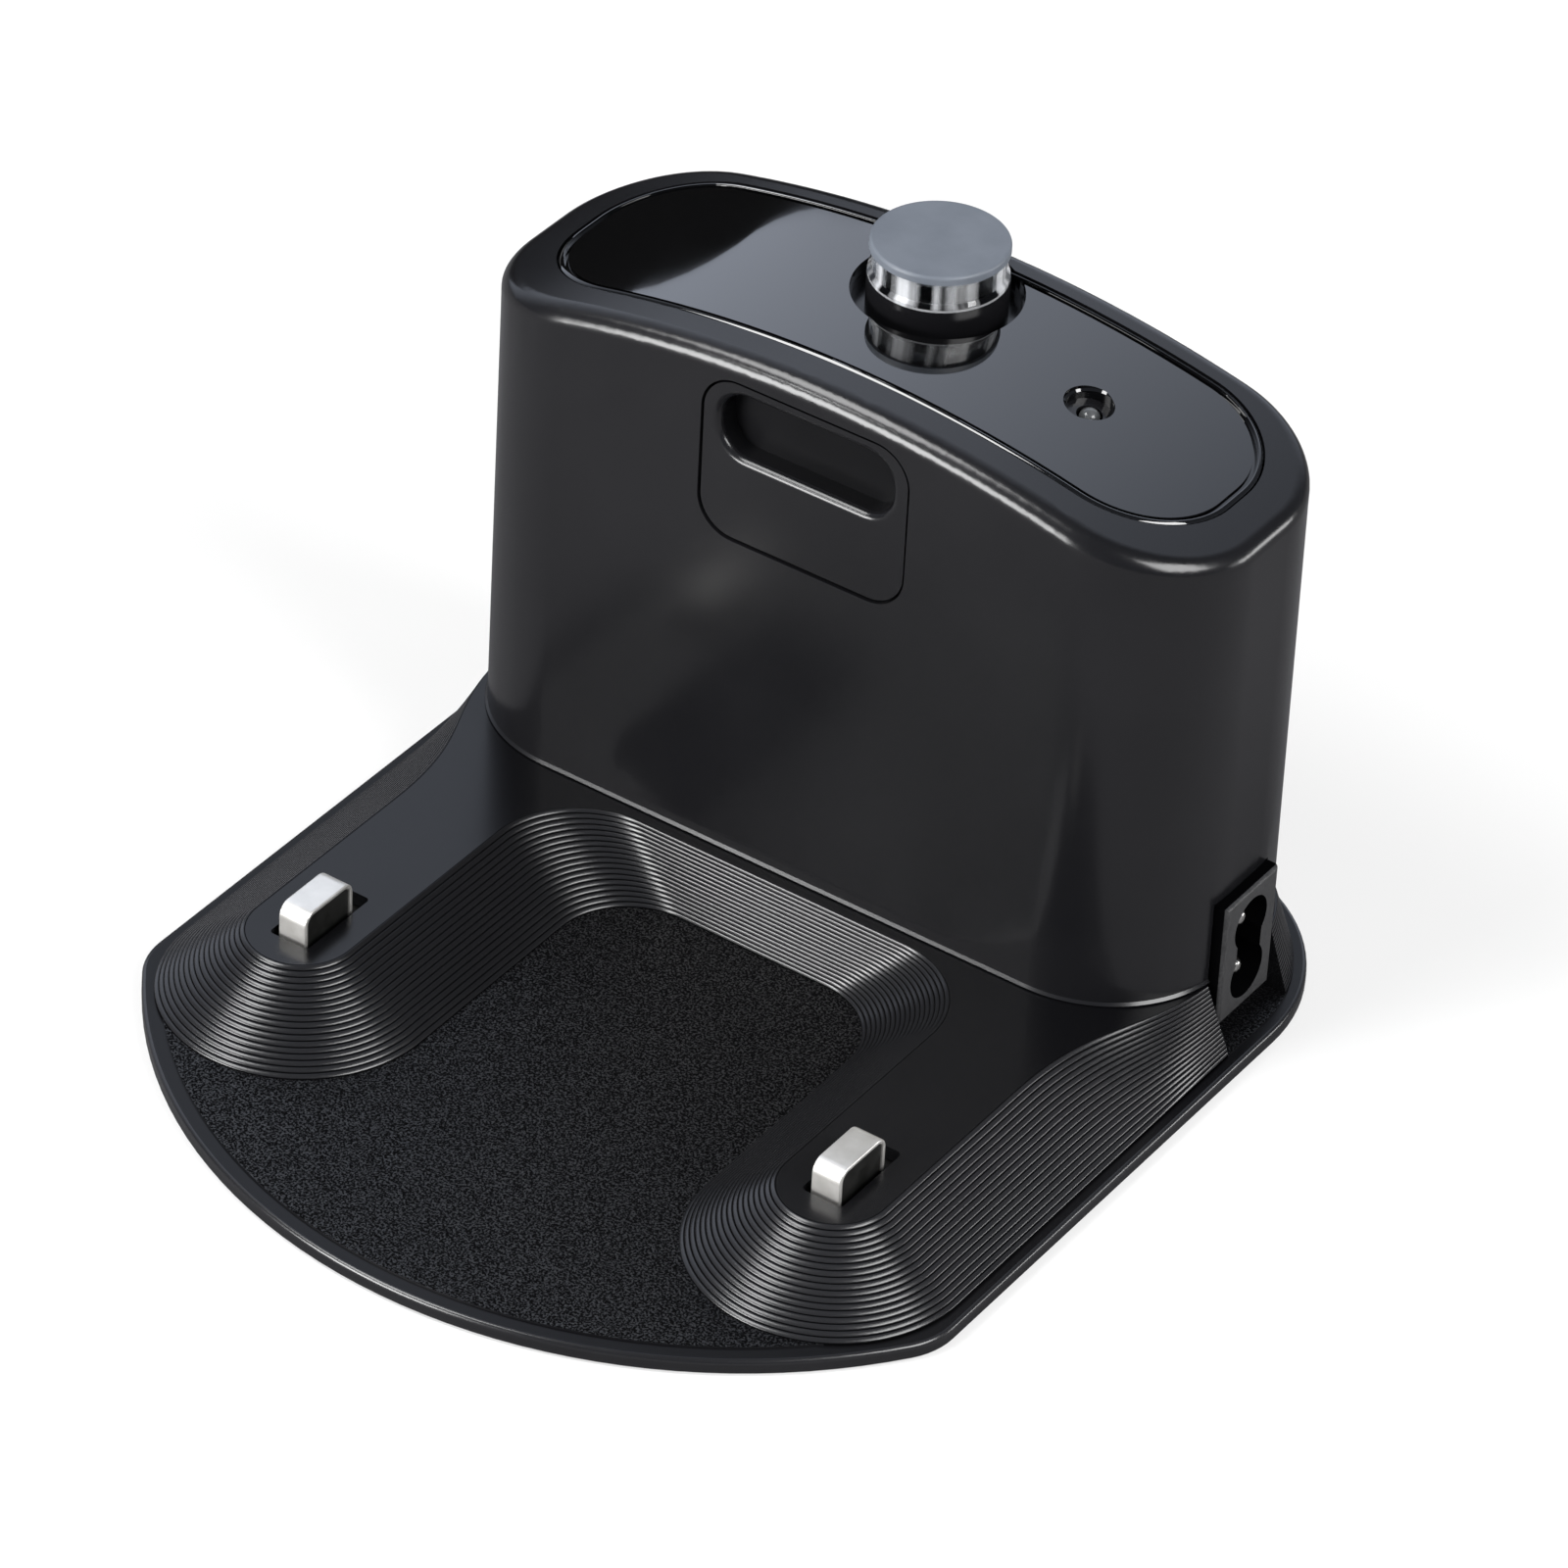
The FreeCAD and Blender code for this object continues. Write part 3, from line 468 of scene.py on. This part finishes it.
def rib_tree():
    # Rounded ribs that climb from the foot ring to its crest, one above the other.
    run_on, dip, weld = 0.008, 0.03, 0.002 * MM  # the last row runs on inwards and dips under the deck
    group = bpy.data.node_groups.new("terrace_ribs", "GeometryNodeTree")
    inputs = {}
    for label, kind in (("Foot ring", "Geometry"), ("Ribs", "Int"), ("Rows", "Int"), ("Foot height", "Float"),
                        ("Rise", "Float"), ("Skirt", "Float"), ("Swell", "Float"), ("Flatness", "Float"),
                        ("Finish", "Material")):
        socket = group.interface.new_socket(name=label, in_out="INPUT", socket_type="NodeSocket" + kind)
        inputs[label] = socket.identifier
    group.interface.new_socket(name="Ribs", in_out="OUTPUT", socket_type="NodeSocketGeometry")
    g = Tree(group)
    given = g.node("NodeGroupInput")
    ring = given.out("Foot ring")
    ribs, rows = given.out("Ribs"), given.out("Rows")
    count = g.node("GeometryNodeAttributeDomainSize", {"component": "MESH"}, {0: ring}, out="Point Count")
    last = ribs * rows + 2
    grid = g.node("GeometryNodeMeshGrid", sockets={"Vertices X": last + 1, "Vertices Y": count + 1})
    index = g.node("GeometryNodeInputIndex")
    row = (index / (count + 1)).floor()
    column = (index % (count + 1)) % count
    spot = g.node("GeometryNodeInputPosition")
    crest_field = g.node("GeometryNodeInputNamedAttribute", {"data_type": "FLOAT_VECTOR"}, {"Name": "crest"})
    foot, crest = (
        g.node("GeometryNodeSampleIndex", {"data_type": "FLOAT_VECTOR", "domain": "POINT"}, {
            "Geometry": ring, "Value": field, "Index": column})
        for field in (spot, crest_field))
    step = (row - 1).most(0).least(ribs * rows)
    rib = (step / rows).floor().least(ribs - 1)
    along = step / rows - rib
    off_middle = (along * 2 - 1).size()
    swell = (1 - off_middle ** given.out("Flatness")) * given.out("Swell")
    below = row < 0.5
    above = row > last - 0.5
    share = (rib + (along - swell)) / ribs + above * run_on
    height = given.out("Foot height") + (rib + (along + swell)) * given.out("Rise") / ribs
    height = height - below * given.out("Skirt") - above * given.out("Skirt") * dip
    moved = g.vector("ADD", foot, g.node("ShaderNodeVectorMath", {"operation": "SCALE"}, {
        0: g.vector("SUBTRACT", crest, foot), "Scale": share}))
    flat = g.node("ShaderNodeSeparateXYZ", sockets={0: moved})
    place = g.node("ShaderNodeCombineXYZ", sockets={"X": flat.out("X"), "Y": flat.out("Y"), "Z": height})
    # The groove measure is nought mid-rib and one in the grooves and lowest rows, where the rib finish puts
    # painted shade.
    marked = g.node("GeometryNodeStoreNamedAttribute", {"data_type": "FLOAT", "domain": "POINT"}, {
        "Geometry": grid, "Name": "groove", "Value": off_middle.most(row < 2.5)})
    shaped = g.node("GeometryNodeSetPosition", sockets={"Geometry": marked, "Position": place})
    closed = g.node("GeometryNodeMergeByDistance", sockets={"Geometry": shaped, "Distance": weld})
    solid = g.node("GeometryNodeRealizeInstances", sockets={"Geometry": closed})
    done = g.node("GeometryNodeSetMaterial", sockets={"Geometry": solid, "Material": given.out("Finish")})
    g.node("NodeGroupOutput", sockets={0: done})
    return group, inputs


def grown(obj, group, inputs, values):
    # Runs a tree on an object and gives the plain mesh that it makes.
    grow = obj.modifiers.new("grow", "NODES")
    grow.node_group = group
    for label, value in values.items():
        grow[inputs[label]] = value
    result = obj.evaluated_get(bpy.context.evaluated_depsgraph_get())
    mesh = bpy.data.meshes.new_from_object(result)
    obj.modifiers.remove(grow)
    return mesh


def add_object(name, data):
    obj = bpy.data.objects.new(name, data)
    scene.collection.objects.link(obj)
    return obj


def stand_for(obj, name):
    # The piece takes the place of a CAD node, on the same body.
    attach(obj, nodes[name]["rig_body"])
    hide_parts(name)


def welded(name):
    # The mesh of a CAD node with its loose triangles joined.
    bm = bmesh.new()
    bm.from_mesh(nodes[name].data)
    bmesh.ops.remove_doubles(bm, verts=bm.verts, dist=WELD)
    return bm


def plain_mesh(name, bm, degrees):
    # Mesh with smooth faces, sharp only where the surface turns by more than the angle.
    bm.normal_update()
    for face in bm.faces:
        face.smooth = True
    for edge in bm.edges:
        edge.smooth = len(edge.link_faces) == 2 and edge.calc_face_angle() < math.radians(degrees)
    mesh = bpy.data.meshes.new(name)
    bm.to_mesh(mesh)
    bm.free()
    if "custom_normal" in mesh.attributes:
        mesh.attributes.remove(mesh.attributes["custom_normal"])
    return mesh


def rib_mesh():
    foot, crest = u_ring(0), u_ring(1)
    count = len(foot)
    mesh = bpy.data.meshes.new("foot_ring")
    mesh.from_pydata([(x * MM, y * MM, 0) for x, y in foot], [(k, (k + 1) % count) for k in range(count)], [])
    mark = mesh.attributes.new("crest", "FLOAT_VECTOR", "POINT")
    mark.data.foreach_set("vector", [c * MM for x, y in crest for c in (x, y, 0)])
    holder = add_object("foot_ring", mesh)
    group, inputs = rib_tree()
    made = grown(holder, group, inputs, {
        "Ribs": RIBS, "Rows": RIB_ROWS, "Foot height": FLOOR_TOP * MM, "Rise": (PLATEAU - FLOOR_TOP) * MM,
        "Skirt": RIB_SKIRT * MM, "Swell": RIB_SWELL, "Flatness": RIB_FLATNESS, "Finish": ribbed})
    bpy.data.objects.remove(holder)
    return made


def notch_ribs(bm):
    # Opens the ribs over the notch of the inlet and closes the two cut ends.
    for y in NOTCH_Y:
        faces = [f for f in bm.faces if f.calc_center_median().x > NOTCH_SIDE * MM]
        part = set(faces)
        for f in faces:
            part.update(f.edges)
            part.update(f.verts)
        bmesh.ops.bisect_plane(bm, geom=list(part), dist=WELD, plane_co=(0, y * MM, 0), plane_no=(0, 1, 0))
    gone = []
    for f in bm.faces:
        c = f.calc_center_median() / MM
        if c.x > NOTCH_SIDE and NOTCH_Y[0] < c.y < NOTCH_Y[1]:
            gone.append(f)
    bmesh.ops.delete(bm, geom=gone, context="FACES")
    for y, facing in zip(NOTCH_Y, (1, -1)):
        cut = [v for v in bm.verts
               if v.is_boundary and v.co.x > NOTCH_SIDE * MM and abs(v.co.y - y * MM) < 10 * WELD]
        cut.sort(key=lambda v: (v.co.z, -v.co.x))
        low, high = ((NOTCH_X * MM, y * MM, z) for z in (cut[0].co.z, PLATEAU * MM))
        wall = bm.faces.new([bm.verts.new(s) for s in [low] + [tuple(v.co) for v in cut] + [high]])
        wall.normal_update()
        if wall.normal.y * facing < 0:
            wall.normal_flip()
        bmesh.ops.triangulate(bm, faces=[wall])


def on_rim(heights, lean):
    # Whether a face with these corner heights and this upward lean is on the rounded edge of the plate.
    return min(heights) > RIM_LOW - NEAR and max(heights) < RIM_HIGH + NEAR and 0.02 < lean < 0.999


def rim_ring(bm):
    # The corners at the top of the plate's upright edge, in their order round it.
    beside = {}
    for edge in bm.edges:
        if edge.is_boundary and all(abs(v.co.z / MM - RIM_LOW) < NEAR for v in edge.verts):
            for v in edge.verts:
                beside.setdefault(v, []).append(edge.other_vert(v))
    first = next(iter(beside))
    ring, last = [first], None
    while True:
        here = ring[-1]
        ahead = beside[here][1] if beside[here][0] is last else beside[here][0]
        if ahead is first:
            return ring
        last = here
        ring.append(ahead)


def round_rim(bm):
    # Even rows round the edge of the plate, in place of long triangles. The last tucks under the flat rim.
    gone = [f for f in bm.faces if on_rim([v.co.z / MM for v in f.verts], f.normal.z)]
    bmesh.ops.delete(bm, geom=gone, context="FACES")
    ring = rim_ring(bm)
    count = len(ring)
    spots = [v.co.copy() for v in ring]
    area = sum(spots[k - 1].x * spots[k].y - spots[k].x * spots[k - 1].y for k in range(count))
    side = 1 if area > 0 else -1
    inward = []
    for k in range(count):
        before = (spots[k] - spots[k - 1]).normalized()
        after = (spots[(k + 1) % count] - spots[k]).normalized()
        a, b = (Vector((-way.y, way.x, 0)) * side for way in (before, after))
        inward.append((a + b) / (1 + a.dot(b)))
    radius = RIM_HIGH - RIM_LOW
    angles = [math.radians(90 * k / RIM_ROWS) for k in range(1, RIM_ROWS + 1)]
    steps = [(radius * (1 - math.cos(a)), RIM_LOW + radius * math.sin(a)) for a in angles]
    steps.append((radius + RIM_TUCK[0], RIM_HIGH - RIM_TUCK[1]))
    rows = [ring]
    for inset, height in steps:
        row = [spot + way * inset * MM for spot, way in zip(spots, inward)]
        rows.append([bm.verts.new((spot.x, spot.y, height * MM)) for spot in row])
    for low, high in zip(rows, rows[1:]):
        for k in range(count):
            i = (k + 1) % count
            quad = [low[k], low[i], high[i], high[k]]
            bm.faces.new(quad if side > 0 else quad[::-1])
    bm.normal_update()


def rim_shading(mesh):
    # The rounded edge of the plate turns evenly from upright to level.
    ways = [Vector(corner.vector) for corner in mesh.corner_normals]
    for face in mesh.polygons:
        if not on_rim([mesh.vertices[k].co.z / MM for k in face.vertices], face.normal.z):
            continue
        for corner in face.loop_indices:
            vert = mesh.vertices[mesh.loops[corner].vertex_index]
            rise = min(max((vert.co.z / MM - RIM_LOW) / (RIM_HIGH - RIM_LOW), 0), 1)
            level = Vector((vert.normal.x, vert.normal.y, 0)).normalized()
            ways[corner] = level * math.sqrt(1 - rise * rise) + Vector((0, 0, rise))
    mesh.normals_split_custom_set(ways)


def base_piece():
    # The CAD base without its plain steps, and the rounded ribs in their place.
    on_ribs, on_deck, on_floor, on_wall, on_flat_rim = range(5)
    ribs = bmesh.new()
    ribs.from_mesh(rib_mesh())
    if sum(f.normal.z for f in ribs.faces) < 0:
        bmesh.ops.reverse_faces(ribs, faces=ribs.faces)
    notch_ribs(ribs)
    # The tree leaves its faces in another slot than the one that the ribs have here.
    for f in ribs.faces:
        f.material_index = on_ribs
    joined = bpy.data.meshes.new("joined_ribs")
    ribs.to_mesh(joined)
    ribs.free()

    bm = welded("base_cover")
    bm.verts.layers.float.new("groove")
    round_rim(bm)
    deck_edge = u_ring(PAST_CREST)
    gone = []
    for f in bm.faces:
        c = f.calc_center_median() / MM
        high = max(v.co.z for v in f.verts) / MM
        up = f.normal.z > 0.99
        f.material_index = on_wall
        if up and c.z > PLATEAU - NEAR:
            f.material_index = on_deck
        elif high > FLOOR_TOP + NEAR and f.normal.z > -0.1 and not inside((c.x, c.y), deck_edge):
            gone.append(f)
        elif up and abs(c.z - FLOOR_TOP) < NEAR:
            f.material_index = on_floor
        elif up and abs(c.z - RIM_HIGH) < 2 * NEAR:
            f.material_index = on_flat_rim
        elif c.z > RIM_LOW - 10 * NEAR:
            f.material_index = on_ribs
    bmesh.ops.delete(bm, geom=gone, context="FACES")
    bm.from_mesh(joined)
    mesh = plain_mesh("ribbed_base", bm, degrees=35)
    rim_shading(mesh)
    for finish in (ribbed, deck, grain_and_pit_shade, shell, rim_and_pocket_shade):
        mesh.materials.append(finish)
    return add_object("ribbed_base", mesh)


def crown_way(spot):
    # Direction of the crowned top at a place on it.
    return Vector((spot.x, 0, spot.z - CROWN_AXIS * MM)).normalized()


def on_crown(loop):
    # Whether a face corner's face follows the crowned top.
    return loop.face.normal.dot(crown_way(loop.face.calc_center_median())) > 0.9995


def flat_groups(bm):
    # Faces that lie in one plane share a number, and each number has an area and a width.
    group, sizes = {}, []
    for start in bm.faces:
        if start in group:
            continue
        group[start] = len(sizes)
        area, outline, waiting = 0.0, 0.0, [start]
        while waiting:
            face = waiting.pop()
            area += face.calc_area()
            for edge in face.edges:
                beside = [f for f in edge.link_faces
                          if f is not face and f.normal.dot(start.normal) > 0.99999]
                if not beside:
                    outline += edge.calc_length()
                for other in beside:
                    if other not in group:
                        group[other] = len(sizes)
                        waiting.append(other)
        sizes.append((area, 2 * area / max(outline, 1e-9)))
    return group, sizes


def fans(vert):
    # The face corners round a point, parted at sharp edges.
    left = {loop.face: loop for loop in vert.link_loops}
    while left:
        face, loop = left.popitem()
        fan, waiting = [loop], [face]
        while waiting:
            for edge in waiting.pop().edges:
                if vert in edge.verts and edge.smooth:
                    for other in edge.link_faces:
                        if other in left:
                            fan.append(left.pop(other))
                            waiting.append(other)
        yield fan


def true_shading(mesh, crowned):
    # Flat walls keep their own direction up to the rounded edges beside them, and the crown its cylinder's.
    # A wall has at least this area and width. Beside a larger one it counts from this share of its area.
    least_area, least_width, share = 4 * MM * MM, MM, 0.4
    bm = bmesh.new()
    bm.from_mesh(mesh)
    group, sizes = flat_groups(bm)
    place = {}
    for face in bm.faces:
        for loop in face.loops:
            place[loop] = len(place)
    ways = [None] * len(place)
    for vert in bm.verts:
        from_axis = (vert.co.x ** 2 + (vert.co.z - CROWN_AXIS * MM) ** 2) ** 0.5
        high = crowned and from_axis > CROWN_INNER * MM
        for fan in fans(vert):
            if high and any(on_crown(loop) for loop in fan):
                way = crown_way(vert.co)
            else:
                walls = [sizes[group[loop.face]] for loop in fan]
                areas = [area * (width > least_width) for area, width in walls]
                limit = share * max(areas) if max(areas) > least_area else -1
                way = Vector((0, 0, 0))
                for loop, area in zip(fan, areas):
                    if area > limit:
                        way += loop.face.normal * loop.calc_angle()
            for loop in fan:
                ways[place[loop]] = way.normalized()
    bm.free()
    mesh.normals_split_custom_set(ways)


def smooth_copy(name, extra=None):
    # The same shape with an even shading, so that no facet shows in a reflection.
    bm = welded(name)
    if extra:
        extra(bm)
    mesh = plain_mesh("smooth_" + name, bm, degrees=30)
    mesh.materials.append(finishes[name])
    true_shading(mesh, name in ("top_panel", "tower_shell"))
    obj = add_object("smooth_" + name, mesh)
    stand_for(obj, name)
    return obj


def panel_bead(bm):
    # Bevelled bead that runs on the lip of the panel and catches a line of light.
    half, front, rear, corner = PANEL
    turns, runs = 24, 30
    ring = []
    for x, y, start in ((half - corner, rear - corner, 0), (corner - half, rear - corner, 90),
                        (corner - half, front + corner, 180), (half - corner, front + corner, 270)):
        for k in range(turns + 1):
            a = math.radians(start + 90 * k / turns)
            ring.append((x + corner * math.cos(a), y + corner * math.sin(a), math.cos(a), math.sin(a)))
        if start in (0, 180):
            end_x, end_y, out_x, out_y = ring[-1]
            ring += [(between(end_x, -end_x, k / runs), end_y, out_x, out_y) for k in range(1, runs)]
    section = [(-0.02, -0.1), (-0.02, 0.0), (-0.13, 0.1), (-0.26, 0.2),
               (-0.4, 0.27), (-0.52, 0.24), (-0.58, -0.1)]
    rows = []
    for x, y, out_x, out_y in ring:
        row = []
        for u, rise in section:
            px = x + u * out_x
            z = CROWN_AXIS + math.sqrt(PANEL_ROUND ** 2 - px * px) + rise
            row.append(bm.verts.new(Vector((px, y + u * out_y, z)) * MM))
        rows.append(row)
    made = []
    for row, after in zip(rows, rows[1:] + rows[:1]):
        for j in range(len(section)):
            i = (j + 1) % len(section)
            made.append(bm.faces.new([row[j], row[i], after[i], after[j]]))
    bmesh.ops.recalc_face_normals(bm, faces=made)


def strip_path():
    # Middle line of a bent contact strip, along the arm and up, from its front toe to its rear toe.
    front, rear = STRIP_LEGS
    low, high = STRIP_HEIGHTS
    toe, bend = TOE_BEND, STRIP_BEND
    path = straight((STRIP_TOES[0], low), (front - toe, low), 3)
    path += arc(front - toe, low + toe, toe, -90, 0, 5)
    path += straight((front, low + toe), (front, high - bend), 6)
    path += arc(front + bend, high - bend, bend, 180, 90, 12)
    path += straight((front + bend, high), (rear - bend, high), 6)
    path += arc(rear - bend, high - bend, bend, 90, 0, 12)
    path += straight((rear, high - bend), (rear, low + toe), 6)
    path += arc(rear + toe, low + toe, toe, 180, 270, 5)
    path += straight((rear + toe, low), (STRIP_TOES[1], low), 3)
    return path + [(STRIP_TOES[1], low)]


def contact_strip(name, side):
    # Nickel strip swept along its bends, with rolled edges. Its feet in the slot get painted shade, the dark
    # finish of the core.
    path = strip_path()
    across, thick = STRIP_HALF
    section = []
    for x, n, start in ((across, thick, 0), (-across, thick, 90),
                        (-across, -thick, 180), (across, -thick, 270)):
        # Six points 18 degrees apart are a quarter turn with both its ends.
        section += arc(x, n, STRIP_EDGE, start, start + 6 * 18, 6)
    count = len(section)
    bm = bmesh.new()
    rows = []
    for k, (y, z) in enumerate(path):
        before, after = path[max(k - 1, 0)], path[min(k + 1, len(path) - 1)]
        way = Vector((after[0] - before[0], after[1] - before[1])).normalized()
        spots = [Vector((side * ARM_X + x, y - way.y * n, z + way.x * n)) * MM for x, n in section]
        rows.append([bm.verts.new(spot) for spot in spots])
    made = []
    for row, after in zip(rows, rows[1:]):
        for j in range(count):
            i = (j + 1) % count
            made.append(bm.faces.new([row[j], row[i], after[i], after[j]]))
    made += [bm.faces.new(rows[0]), bm.faces.new(rows[-1][::-1])]
    bmesh.ops.recalc_face_normals(bm, faces=made)
    mesh = plain_mesh("strip_" + name, bm, degrees=40)
    mesh.materials.append(finishes["contact_left"])
    mesh.materials.append(finishes["contact_core_left"])
    for face in mesh.polygons:
        # Below this height the strip gets painted shade.
        face.material_index = int(face.center.z < STRIP_SHADE_TOP * MM)
    stand_for(add_object("strip_" + name, mesh), name)


ribbed_base = base_piece()
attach(ribbed_base, "dock")
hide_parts("base_cover")
for name in ("tower_shell", "dome_cap", "dome_collar", "dome_lens", "inlet_pins", "power_led"):
    smooth_copy(name)
smooth_copy("top_panel", panel_bead)
for name, side in (("contact_left", -1), ("contact_right", 1)):
    contact_strip(name, side)

# Each spring gets a smooth copy with a mesh of its own.
for name, joint in (("contact_spring_left", "left_contact_press"),
                    ("contact_spring_right", "right_contact_press")):
    spring = smooth_copy(name)
    low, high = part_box(name)
    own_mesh(spring)

# The pocket of the window and the gap round it get painted shade: the darker rim finish behind their rounded
# edges.
window = smooth_copy("window_panel")
window.data.materials.append(rim_and_pocket_shade)
for face in window.data.polygons:
    if abs(face.normal.y) < 0.05 or face.center.y > POCKET_Y * MM:
        face.material_index = 1

# Inside its socket and on its sides the inlet gets painted shade, a smooth very dark matte finish.
inlet = smooth_copy("inlet_body")
inlet.data.materials.append(painted_socket_shade())
for face in inlet.data.polygons:
    spot = face.center / MM
    across, up = abs(spot.y - INLET_Y), abs(spot.z - INLET_Z)
    if face.normal.x < 0.3 or (spot.x < SOCKET_X and across < SOCKET_HALF[0] and up < SOCKET_HALF[1]):
        face.material_index = 1


def looked_at(f):
    # Rays that look at the surround straight or through clear plastic, and rays that reflect it.
    path = f.node("ShaderNodeLightPath", out="Is Camera Ray")
    straight_on = 1 - (1 - path) * (1 - path.out("Is Transmission Ray"))
    return straight_on, path.out("Is Glossy Ray")


def backdrop(tree, strength, colour=grey(1)):
    return tree.node("ShaderNodeBackground", sockets={"Color": colour, "Strength": strength})


# Pale floor that keeps a soft shadow, white to the camera and grey in a reflection.
bpy.ops.mesh.primitive_plane_add(size=6)
floor = bpy.context.object
floor.name = "floor"
f = Finish("pale_floor")
straight_on, mirrored = looked_at(f)
glow = f.node("ShaderNodeEmission", sockets={"Color": grey(1), "Strength": 0.55})
shown = f.node("ShaderNodeAddShader", sockets={0: f.diffuse(grey(0.45)), 1: glow})
unseen = f.mixed(mirrored, f.diffuse(grey(0.8)), f.diffuse((0.22, 0.22, 0.23, 1)))
floor.data.materials.append(f.close(f.mixed(straight_on, unseen, shown)))

# White surround. Reflections see it brightest behind the dock's left.
world = bpy.data.worlds.new("studio")
scene.world = world
world.use_nodes = True
w = Tree(world.node_tree)
straight_on, mirrored = looked_at(w)
brightest = (-0.621, 0.691, 0.370)
way = w.node("ShaderNodeTexCoord", out="Generated")
facing = w.node("ShaderNodeVectorMath", {"operation": "DOT_PRODUCT"}, {0: way, 1: brightest}, out="Value")
mirror = backdrop(w, w.span(facing, 0.52, 1.0, 0.12, 1.2), (0.91, 0.99, 1.16, 1))
unseen = w.mixed(mirrored, backdrop(w, 0.2), mirror)
w.node("ShaderNodeOutputWorld", sockets={"Surface": w.mixed(straight_on, unseen, backdrop(w, 1.0))})

# Dark card behind the dock's left, seen only in reflections. Its edge is given across and up in its plane.
card_centre = Vector((-0.7325, 0.8350, 0.4543))
card_across = Vector((0.7517, 0.6595, 0.0))
card_up = Vector((0.2496, -0.2846, 0.9256))
card_edge = [(-0.6, -0.75), (-0.6, -0.02), (-0.12, -0.015), (-0.07, 0.0), (-0.047, 0.017),
             (-0.034, 0.034), (-0.019, 0.048), (-0.009, 0.054), (0.001, 0.056), (0.0066, 0.053),
             (0.015, 0.057), (0.026, 0.067), (0.039, 0.083), (0.053, 0.104), (0.081, 0.146),
             (0.11, 0.165), (0.3, 0.17), (0.3, -0.75)]
card_spots = [card_centre + card_across * a + card_up * b for a, b in card_edge]
card_mesh = bpy.data.meshes.new("dark_card")
card_mesh.from_pydata(card_spots, [], [range(len(card_spots))])
card = add_object("dark_card", card_mesh)
f = Finish("card_black")
card_mesh.materials.append(f.close(f.diffuse(grey(0.01))))
card.visible_camera = False
card.visible_diffuse = False
card.visible_transmission = False
card.visible_shadow = False


def toward(azimuth, elevation, distance):
    # A place seen from the dock: azimuth from the front towards the right, elevation above the floor.
    a, e = math.radians(azimuth), math.radians(elevation)
    return Vector((math.sin(a) * math.cos(e), -math.cos(a) * math.cos(e), math.sin(e))) * distance


def softbox(name, place, aim_height, width, height, power):
    # A lamp that looks at the dock's middle line at a height.
    lamp = bpy.data.lights.new(name, "AREA")
    lamp.shape = "RECTANGLE"
    lamp.size = width
    lamp.size_y = height
    lamp.energy = power
    turned = (Vector((0, 0, aim_height)) - place).to_track_quat("-Z", "Y").to_matrix().to_4x4()
    add_object(name, lamp).matrix_world = Matrix.Translation(place) @ turned


softbox("right_softbox", toward(86, 38, 1.3), aim_height=0.04, width=0.75, height=0.6, power=15)
softbox("left_softbox", toward(-46, 57, 1.3), aim_height=0.04, width=0.6, height=0.45, power=9)
softbox("front_strip", toward(-26, 13, 1.1), aim_height=0.01, width=0.55, height=0.42, power=13)
softbox("small_lamp", toward(-33, 36, 1.2), aim_height=0.015, width=0.12, height=0.12, power=1.0)
softbox("side_strip", toward(130, 6, 1.1), aim_height=0.01, width=0.4, height=0.2, power=2.2)

# Camera of the photograph: degrees round to the right, up and rolled, what it looks at and from how far.
turn, lift, roll = (math.radians(v) for v in (33.24, 37.03, 3.03))
aim = Vector((0, 19.5, 29.2)) * MM
distance = 1.1436
back = Vector((math.sin(turn) * math.cos(lift), -math.cos(turn) * math.cos(lift), math.sin(lift)))
right = Vector((math.cos(turn), math.sin(turn), 0))
up = back.cross(right)
camera_x = right * math.cos(roll) + up * math.sin(roll)
camera_y = up * math.cos(roll) - right * math.sin(roll)
lens = bpy.data.cameras.new("camera")
lens.lens = 188.6
lens.sensor_width = 36
camera = add_object("camera", lens)
stance = Matrix((camera_x, camera_y, back)).transposed().to_4x4()
camera.matrix_world = Matrix.Translation(aim + back * distance) @ stance
scene.camera = camera
scene.view_settings.view_transform = "Standard"
